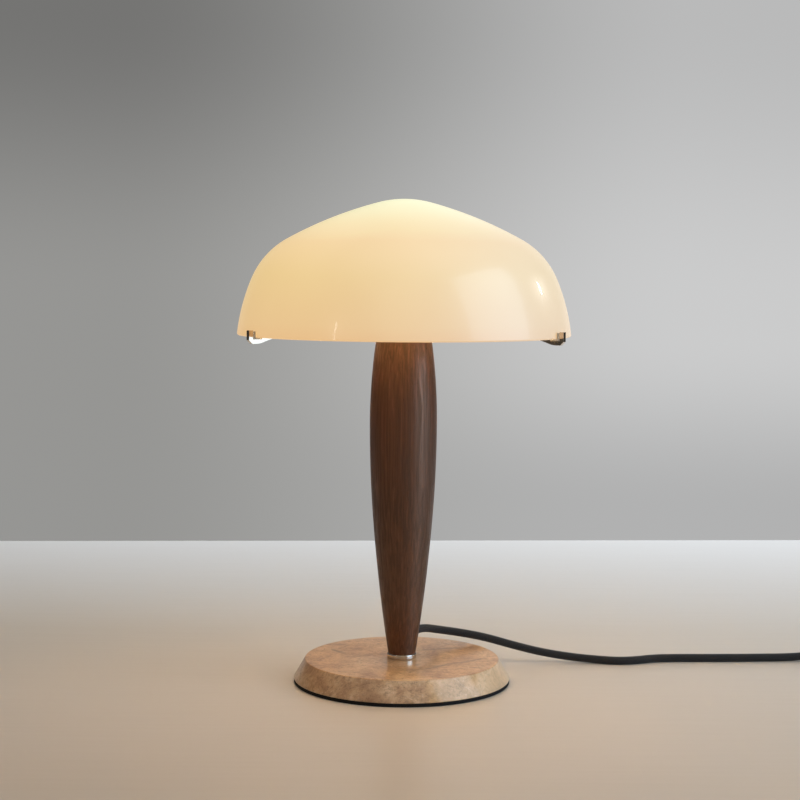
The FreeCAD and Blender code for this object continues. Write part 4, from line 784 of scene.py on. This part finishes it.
# The bulb: a 45 mm globe of opal plastic on a white housing that holds the driver board, with the light board
# across its mouth and a nickel-plated screw cap with a rolled thread, insulated from the solder tip.
bulb_light = {"Roughness": 0.4, "Emission_Strength": 55.0}
bulb_opal = grained("bulb_opal", (236, 230, 218), (246, 242, 232), 60.0, 2.0, **bulb_light)
warm_light = bulb_opal.shades(bulb_opal.grain, (0.3, (1.0, 0.70, 0.40)), (0.7, (1.0, 0.74, 0.45)))
bulb_opal.wear("Emission Color", warm_light)
globe_middle = Vector((0.0, 373.1))
globe_radius = 22.5
globe_inside = 21.3
globe_mouth = 356.6
mouth_slope = math.acos((globe_mouth - globe_middle.y) / globe_radius)
globe_arms = []
for step in range(41):
    slope = mouth_slope * (1 - step / 40)
    globe_arms.append(Vector((math.sin(slope), math.cos(slope))))
globe_outline = [globe_middle + arm * globe_inside for arm in reversed(globe_arms[1:])]
globe_outline.append(Vector((14.1, globe_mouth)))
globe_outline += [globe_middle + arm * globe_radius for arm in globe_arms]
globe_mesh = turned("bulb_glow", globe_outline, 96)
fitted("bulb_glow", globe_mesh, bulb_opal, "bulb", "bulb_globe", crease=60)
housing_skin = {"depth": 0.00002, "Roughness": 0.38}
bulb_housing_plastic = grained(
    "bulb_housing_plastic", (226, 223, 216), (240, 238, 232), 1200.0, 2.0, **housing_skin
)
eased("bulb_body", "bulb_housing", 0.2, bulb_housing_plastic)
bulb_board = grained("bulb_board", (206, 208, 202), (232, 234, 230), 500.0, 2.0, Roughness=0.5)
eased("bulb_lights", "bulb_light_board", 0.1, bulb_board)
eased("bulb_circuit", "bulb_driver", 0.1, bulb_board)
black_glass = {"Roughness": 0.2, "Coat_Weight": 0.5}
bulb_insulator_glass = grained("bulb_insulator_glass", (20, 19, 22), (40, 38, 42), 500.0, 2.0, **black_glass)
eased("bulb_bead", "bulb_insulator", 0.2, bulb_insulator_glass)
cap_light = (212, 210, 205)
bulb_cap_metal = grained("bulb_cap_metal", (172, 170, 164), cap_light, 700.0, rough=(0.2, 0.18), Metallic=1.0)
eased("bulb_tip", "bulb_tip_contact", 0.25, bulb_cap_metal)
thread_rule = Rule("bulb_cap")
thread_radius = thread_rule.size("Radius over the thread", 0.00695)
thread_bead = thread_rule.size("Radius of the rolled thread", 0.00062)
thread_pitch = thread_rule.size("Pitch", 0.0028)
thread_turns = thread_rule.size("Turns", 4.2)
thread_foot = thread_rule.size("Height of the first turn", 0.3256)
winding = {"Resolution": 64, "Rotations": thread_turns, "Height": thread_pitch * thread_turns}
winding["Start Radius"] = thread_radius - thread_bead
winding["End Radius"] = thread_radius - thread_bead
thread_line = thread_rule.node("GeometryNodeCurveSpiral", {}, winding)
thread = thread_rule.swept(thread_line, thread_rule.circle(12, thread_bead), True)
thread = thread_rule.moved(thread, thread_rule.vector(0.0, 0.0, thread_foot))
cap_outline = rounded((5.8, 323.8, 0.2), (6.4, 323.8, 0.3), (6.4, 339.1, 0.2), (5.8, 339.1, 0.2))
cap_blank = in_scene("cap_blank", turned("cap_blank", cap_outline, 64))
cap_wall = thread_rule.node("GeometryNodeObjectInfo", {}, {"Object": cap_blank}, "Geometry")
cap_mesh = thread_rule.mesh(thread_rule.joined(cap_wall, thread), bulb_cap_metal)
bpy.data.objects.remove(cap_blank)
fitted("bulb_cap", cap_mesh, bulb_cap_metal, "bulb", "bulb_screw_cap", crease=50)

# The switch in the cord: two halves of black moulded plastic held by two screws from below, round a rocker on
# a steel pin. Under it a spring leaf bridges two contact strips. The rocker has ribs for the thumb.
moulded_black = ((22, 21, 21), (35, 34, 33), 1100.0, 3.0, 0.6)
switch_plastic = grained("switch_plastic", *moulded_black, depth=0.00006, Roughness=0.5)
rocker_skin = {"depth": 0.00003, "Roughness": 0.4}
rocker_plastic = grained("rocker_plastic", (27, 26, 26), (40, 39, 38), 1400.0, 2.0, **rocker_skin)
steel_light = (198, 198, 195)
switch_metal = grained("switch_metal", (150, 150, 148), steel_light, 800.0, rough=(0.25, 0.2), Metallic=1.0)
rib_rule = Rule("rocker_ribs")
rib_count = rib_rule.size("Ribs at each end", 3, "NodeSocketInt")
rib_pitch = rib_rule.size("Distance between ribs", 0.00125)
rib_first = rib_rule.size("First rib from the middle", 0.0044)
rib_radius = rib_rule.size("Rib radius", 0.00045)
rib_length = rib_rule.size("Rib length", 0.0082)
valley = rib_rule.size("Middle of the rocker above its pin", 0.0041)
valley_rise = rib_rule.size("Rise of the rocker's face to its end", 0.1415)
rib_sink = rib_rule.size("Share of the radius sunk in the rocker", 0.35)
ball_size = {"Segments": 16, "Rings": 8, "Radius": rib_radius}
rib_ball = rib_rule.node("GeometryNodeMeshUVSphere", {}, ball_size)
rib_parts = [rib_rule.cylinder(16, rib_radius, rib_length)]
for end in (-0.5, 0.5):
    rib_parts.append(rib_rule.moved(rib_ball, rib_rule.vector(0.0, 0.0, rib_length * end)))
rib = rib_rule.moved(rib_rule.joined(*rib_parts), turn=(math.pi / 2, 0.0, 0.0))
along_face = rib_first + rib_pitch * rib_rule.node("GeometryNodeInputIndex")
rib_height = valley + along_face * valley_rise - rib_radius * rib_sink
rib_rows = []
for end in (-1, 1):
    rib_rows.append(rib_rule.row(rib_count, rib_rule.vector(along_face * end, 0.0, rib_height)))
rib_mesh = rib_rule.mesh(rib_rule.copies(rib_rule.joined(*rib_rows), rib), rocker_plastic)
pin_place = (0.417, 0.083, 0.012)
tilt_when_on = math.radians(8.0)
rib_mesh.transform(Matrix.Translation(pin_place) @ Matrix.Rotation(tilt_when_on, 4, "Y"))
on_lead = [
    eased("switch_lower_half", "switch_base", 0.35, switch_plastic),
    eased("switch_upper_half", "switch_cover", 0.25, switch_plastic),
    eased("rocker", "switch_rocker", 0.3, rocker_plastic),
    fitted("rocker_ribs", rib_mesh, rocker_plastic, "rocker"),
    eased("rocker_axle", "rocker_pin", 0.1, switch_metal),
    eased("switch_strips", "switch_contacts", 0.08, contact_brass),
    eased("switch_spring", "switch_leaf", 0.06, contact_brass),
    eased("switch_screw_pair", "switch_screws", 0.15, switch_metal),
]

# The plug: a flat two-pin body moulded round the cord's end, with a ribbed bend sleeve and nickel-plated
# brass pins that are insulated for half their length.
plug_plastic = grained("plug_plastic", *moulded_black, depth=0.00005, Roughness=0.48)
pin_light = (216, 212, 202)
plug_pin_metal = grained("plug_pin_metal", (178, 174, 164), pin_light, 700.0, rough=(0.16, 0.2), Metallic=1.0)
last_bend = Vector((0.4630, -0.0565, 0.00685))
plug_entry = Vector((0.4465, -0.0605, 0.00685))
plug_run = plug_entry - last_bend
sleeve_axis = laid_along(plug_entry, math.atan2(plug_run.y, plug_run.x))
sleeve_outline = rounded((0, 0, 0), (3.9, 0, 0.4), (4.9, 24, 0), (0, 24, 0))
sleeve_core = turned("sleeve_core", sleeve_outline, 40)
sleeve_sizes = (0.0015, 0.0195, 0.0039, 0.0049, 9, 0.00045)
sleeve_mesh = ribbed("plug_bend_sleeve", *sleeve_sizes, sleeve_axis, sleeve_core)
on_tail = [
    fitted("plug_bend_sleeve", sleeve_mesh, black_moulding, "lamp", "plug_sleeve", crease=50),
    eased("plug_block", "plug_body", 0.6, plug_plastic),
    eased("plug_pin_pair", "plug_pins", 0.3, plug_pin_metal),
    eased("plug_pin_covers", "plug_pin_sleeves", 0.1, plug_plastic),
]

# The cord: two cores in a round sheath with a braid of charcoal textile, seven millimetres thick. It leaves
# the stem low at the back, lies on the table and goes through the switch to its coil and its plug.
cord_textile = Finish("cord_textile", Roughness=0.85, Sheen_Weight=0.12, Sheen_Roughness=0.5)
braid_place = cord_textile.node("ShaderNodeUVMap", {"uv_map": "braid"})
round_cord = cord_textile.part(braid_place, 0)
along_cord = cord_textile.part(braid_place, 1)
strands = 12
left_lay = (round_cord + along_cord) * strands
right_lay = (round_cord - along_cord) * strands
over_left = ((left_lay.floor() + right_lay.floor()) * 0.5).rest().over(0.25)
left_rise = (left_lay.rest() * math.pi).sine() * (0.55 + 0.45 * (right_lay.rest() * math.pi).sine())
right_rise = (right_lay.rest() * math.pi).sine() * (0.55 + 0.45 * (left_lay.rest() * math.pi).sine())
braid = left_rise * over_left + right_rise * (1 - over_left)
threads = cord_textile.clouds(cord_textile.place(), 2600.0, 2.0, 0.6)
braid_colour = cord_textile.shades(threads, (0.3, paint(31, 28, 26)), (0.7, paint(56, 50, 47)))
# Painted shade: the valleys between the strands are painted near black.
cord_textile.wear("Base Color", cord_textile.blend(1 - braid, braid_colour, paint(9, 9, 9)))
cord_textile.relief(braid + threads * 0.25, 0.00035)


def laid_line(name, route):
    """Lays one smooth spline along a route and reads its line back as points."""
    curve = bpy.data.curves.new(name, "CURVE")
    curve.dimensions = "3D"
    curve.resolution_u = 10
    spline = curve.splines.new("NURBS")
    spline.points.add(len(route) - 1)
    for point, spot in zip(spline.points, route):
        point.co = (*spot, 1.0)
    spline.order_u = 3
    spline.use_endpoint_u = True
    spline.resolution_u = 10
    return [vertex.co.copy() for vertex in baked(in_scene(name, curve)).vertices]


def braided(name, spots, radius, facets=20):
    """A round sheath along a line, with its braid's own UV map: once round, and its length in girths."""
    shape = bmesh.new()
    map_layer = shape.loops.layers.uv.new("braid")
    befores = [spots[0], *spots[:-1]]
    afters = [*spots[1:], spots[-1]]
    ways = [(after - before).normalized() for before, after in zip(befores, afters)]
    side = ways[0].cross(Vector((0, 0, 1))).normalized()
    rings = []
    lengths = []
    length = 0.0
    for number, (spot, way) in enumerate(zip(spots, ways)):
        if number:
            length += (spot - spots[number - 1]).length
        side = (side - way * side.dot(way)).normalized()
        up = side.cross(way)
        ring = []
        for step in range(facets):
            angle = math.tau * step / facets
            ring.append(shape.verts.new(spot + (side * math.cos(angle) + up * math.sin(angle)) * radius))
        rings.append(ring)
        lengths.append(length / (math.tau * radius))
    for number in range(len(rings) - 1):
        for step in range(facets):
            corners = ((number, step), (number, step + 1), (number + 1, step + 1), (number + 1, step))
            face = shape.faces.new([rings[ring][turn % facets] for ring, turn in corners])
            for loop, (ring, turn) in zip(face.loops, corners):
                loop[map_layer].uv = (turn / facets, lengths[ring])
    shape.faces.new(rings[0])
    shape.faces.new(rings[-1])
    bmesh.ops.recalc_face_normals(shape, faces=shape.faces)
    return as_mesh(name, shape)


def at_outlet(reach):
    """A spot on the outlet's axis, reach metres from the lamp's middle."""
    return (reach * math.cos(outlet_way), reach * math.sin(outlet_way), outlet_rise)


cord_radius = 0.0035
relief_end = at_outlet(0.0262)
lead_route = [
    relief_end,
    at_outlet(0.0409),
    (0.0315, 0.0508, 0.0334),
    (0.0530, 0.0600, 0.0286),
    (0.0750, 0.0655, 0.0234),
    (0.0990, 0.0693, 0.0158),
    (0.1240, 0.0715, 0.0092),
    (0.1510, 0.0715, 0.0048),
    (0.1740, 0.0678, 0.0035),
    (0.1920, 0.0625, 0.0035),
    (0.2090, 0.0655, 0.0035),
    (0.2260, 0.0740, 0.0035),
    (0.2500, 0.0765, 0.0035),
    (0.2850, 0.0772, 0.0035),
    (0.3200, 0.0795, 0.0035),
    (0.3490, 0.0818, 0.0035),
    (0.3640, 0.0830, 0.0044),
    (0.3750, 0.0830, 0.0070),
    (0.3860, 0.0830, 0.0070),
]
lead_line = laid_line("lead_line", lead_route)
lead_mesh = braided("cord_to_switch", lead_line, cord_radius)
lead = fitted("cord_to_switch", lead_mesh, cord_textile, "lamp", "cord_lead")
coil_turns = 5
spots_per_turn = 16
coil_pitch = 0.0075
coil_widest = 0.0465
coil_middle = (0.454, 0.015)
climb_start = 2.25
pulled_in = 0.981  # a smooth spline runs this much inside the round of its spots
coil_route = []
for number in range(coil_turns * spots_per_turn + 1):
    turns_made = number / spots_per_turn
    coil_reach = coil_widest - coil_pitch * min(turns_made, coil_turns - turns_made)
    if 0 < turns_made < coil_turns:
        coil_reach /= pulled_in
    coil_angle = -math.tau * turns_made
    climb = min(max((turns_made - climb_start) * 2, 0.0), 1.0)
    lift = 2 * climb * climb if climb < 0.5 else 1 - 2 * (1 - climb) ** 2
    coil_x = coil_middle[0] + coil_reach * math.cos(coil_angle)
    coil_y = coil_middle[1] + coil_reach * math.sin(coil_angle)
    coil_route.append((coil_x, coil_y, cord_radius + coil_pitch * lift))
tail_route = [
    (0.4480, 0.0830, 0.0070),
    (0.4640, 0.0830, 0.0070),
    (0.4800, 0.0770, 0.0050),
    (0.4920, 0.0645, 0.0038),
    (0.4986, 0.0485, 0.0035),
    (0.5005, 0.0345, 0.0035),
    (0.5005, 0.0220, 0.0035),
    *coil_route,
    (0.5005, 0.0080, 0.0110),
    (0.5005, -0.0060, 0.0110),
    (0.4975, -0.0215, 0.0103),
    (0.4900, -0.0360, 0.0086),
    (0.4780, -0.0480, 0.0072),
    last_bend,
    plug_entry,
]
tail_line = laid_line("tail_line", tail_route)
tail_mesh = braided("cord_to_plug", tail_line, cord_radius, 16)
tail_nodes = ("cord_link", "cord_coil", "cord_tail")
tail = fitted("cord_to_plug", tail_mesh, cord_textile, "lamp", *tail_nodes)

# The room: a pale table top, turned a little so that its back edge is level in the view, in a grey room that
# is lighter at the right. The table's colour is painted warmer at the front and near white at the back:
# painted light. A wide soft light stands at the right like a window, a weak one at the left, one hangs over
# the table and one washes its back. Two narrow ones only give the small glints.
table_finish = Finish("table_finish", Coat_Weight=0.25, Coat_Roughness=0.2)
table_place = table_finish.place()
table_grain = table_finish.clouds(table_finish.place((0, 0, 0), (0.25, 6.0, 1.0)), 30.0, 3.0)
# Painted light: the table is painted warmer at the front and near white towards the back.
table_colour_and_painted_light = table_finish.shades(
    (table_finish.part(table_place, 1) + 0.3) / 1.1,
    (0.00, paint(203, 181, 157)),
    (0.45, paint(209, 197, 182)),
    (1.00, paint(252, 253, 254)),
)
table_colour_and_painted_light = table_finish.blend(table_grain * 0.08, table_colour_and_painted_light, paint(170, 158, 140))
table_finish.wear("Base Color", table_colour_and_painted_light)
table_finish.wear("Roughness", 0.34 + table_grain * 0.1)
slab_width, slab_depth, slab_thickness = 3.6, 3.2, 0.025
slab_turn = Matrix.Translation((0.0, 0.75, 0.0)) @ Matrix.Rotation(math.radians(2.9), 4, "Z")
slab_middle = slab_turn @ Matrix.Translation((0.0, -slab_depth / 2, -slab_thickness / 2))
slab_size = Matrix.Diagonal((slab_width, slab_depth, slab_thickness, 1.0))
slab = bmesh.new()
bmesh.ops.create_cube(slab, size=1.0, matrix=slab_middle @ slab_size)
slab_edges = [edge for edge in slab.edges if min(vertex.co.z for vertex in edge.verts) > -0.001]
bmesh.ops.bevel(slab, geom=slab_edges, offset=0.004, segments=4, affect="EDGES")
table_top = in_scene("table_top", as_mesh("table_top", slab))
table_top.data.materials.append(table_finish.material)
room = bpy.data.worlds.new("room")
room.use_nodes = True
room_air = room.node_tree.nodes["Background"]
walls = Bench(room.node_tree)
way_out = walls.node("ShaderNodeTexCoord", {}, {}, "Generated")
to_right, to_back, to_top = (walls.part(way_out, axis) for axis in range(3))
lit_end = to_right.ramp(-0.17, 0.17)
back_wall = (0.305 + lit_end * 0.295) * (1 - to_top.ramp(-0.02, 0.14) * (0.42 - lit_end * 0.24))
back_wall = back_wall * (1 - to_top.ramp(-0.04, -0.14) * lit_end * 0.26)
side_walls = 0.05 + to_back.ramp(-0.5, -0.95) * 0.11
seen_wall = to_back.ramp(0.7, 0.95)
tone = back_wall * seen_wall + side_walls * (1 - seen_wall) + to_top.ramp(0.25, 0.8) * 0.22
wall_colour = walls.blend(lit_end, (1.0, 0.993, 0.962), (0.995, 0.998, 1.0))
walls.feed(room_air.inputs["Color"], walls.blend(tone, (0.0, 0.0, 0.0), wall_colour))
bpy.context.scene.world = room
bpy.context.scene.view_settings.view_transform = "Standard"


def soft_light(name, turn, lift, distance, wide, high, colour, power, aim=(0.0, 0.0, 0.25)):
    """A light seen from the lamp turn degrees right of the view and lift degrees up, aimed at the lamp."""
    source = bpy.data.lights.new(name, "AREA")
    source.shape = "RECTANGLE"
    source.size = wide
    source.size_y = high
    source.color = colour
    source.energy = power
    lamp = in_scene(name, source)
    side, up = math.radians(turn), math.radians(lift)
    way = Vector((math.sin(side) * math.cos(up), -math.cos(side) * math.cos(up), math.sin(up)))
    lamp.rotation_mode = "QUATERNION"
    lamp.rotation_quaternion = way.to_track_quat("Z", "Y")
    lamp.location = Vector(aim) + way * distance
    return lamp


soft_light("window", 68, 20, 1.8, 1.5, 1.9, (0.56, 0.76, 1.0), 26.0)
soft_light("left_slit", -46, 14, 1.8, 0.03, 0.35, (1.0, 0.97, 0.92), 0.6)
soft_light("right_slit", 118, 20.5, 1.8, 0.05, 0.12, (1.0, 0.98, 0.95), 1.2)
soft_light("left_fill", -75, 20, 2.0, 1.2, 1.2, (1.0, 0.86, 0.7), 3.0).visible_glossy = False
soft_light("overhead", 20, 80, 2.2, 2.0, 2.0, (1.0, 0.97, 0.93), 9.0).visible_glossy = False
back_wash = soft_light("back_wash", 175, 60, 1.2, 2.4, 0.4, (1.0, 0.99, 0.97), 11.5, (0.2, 0.75, 0.0))
back_wash.visible_glossy = False
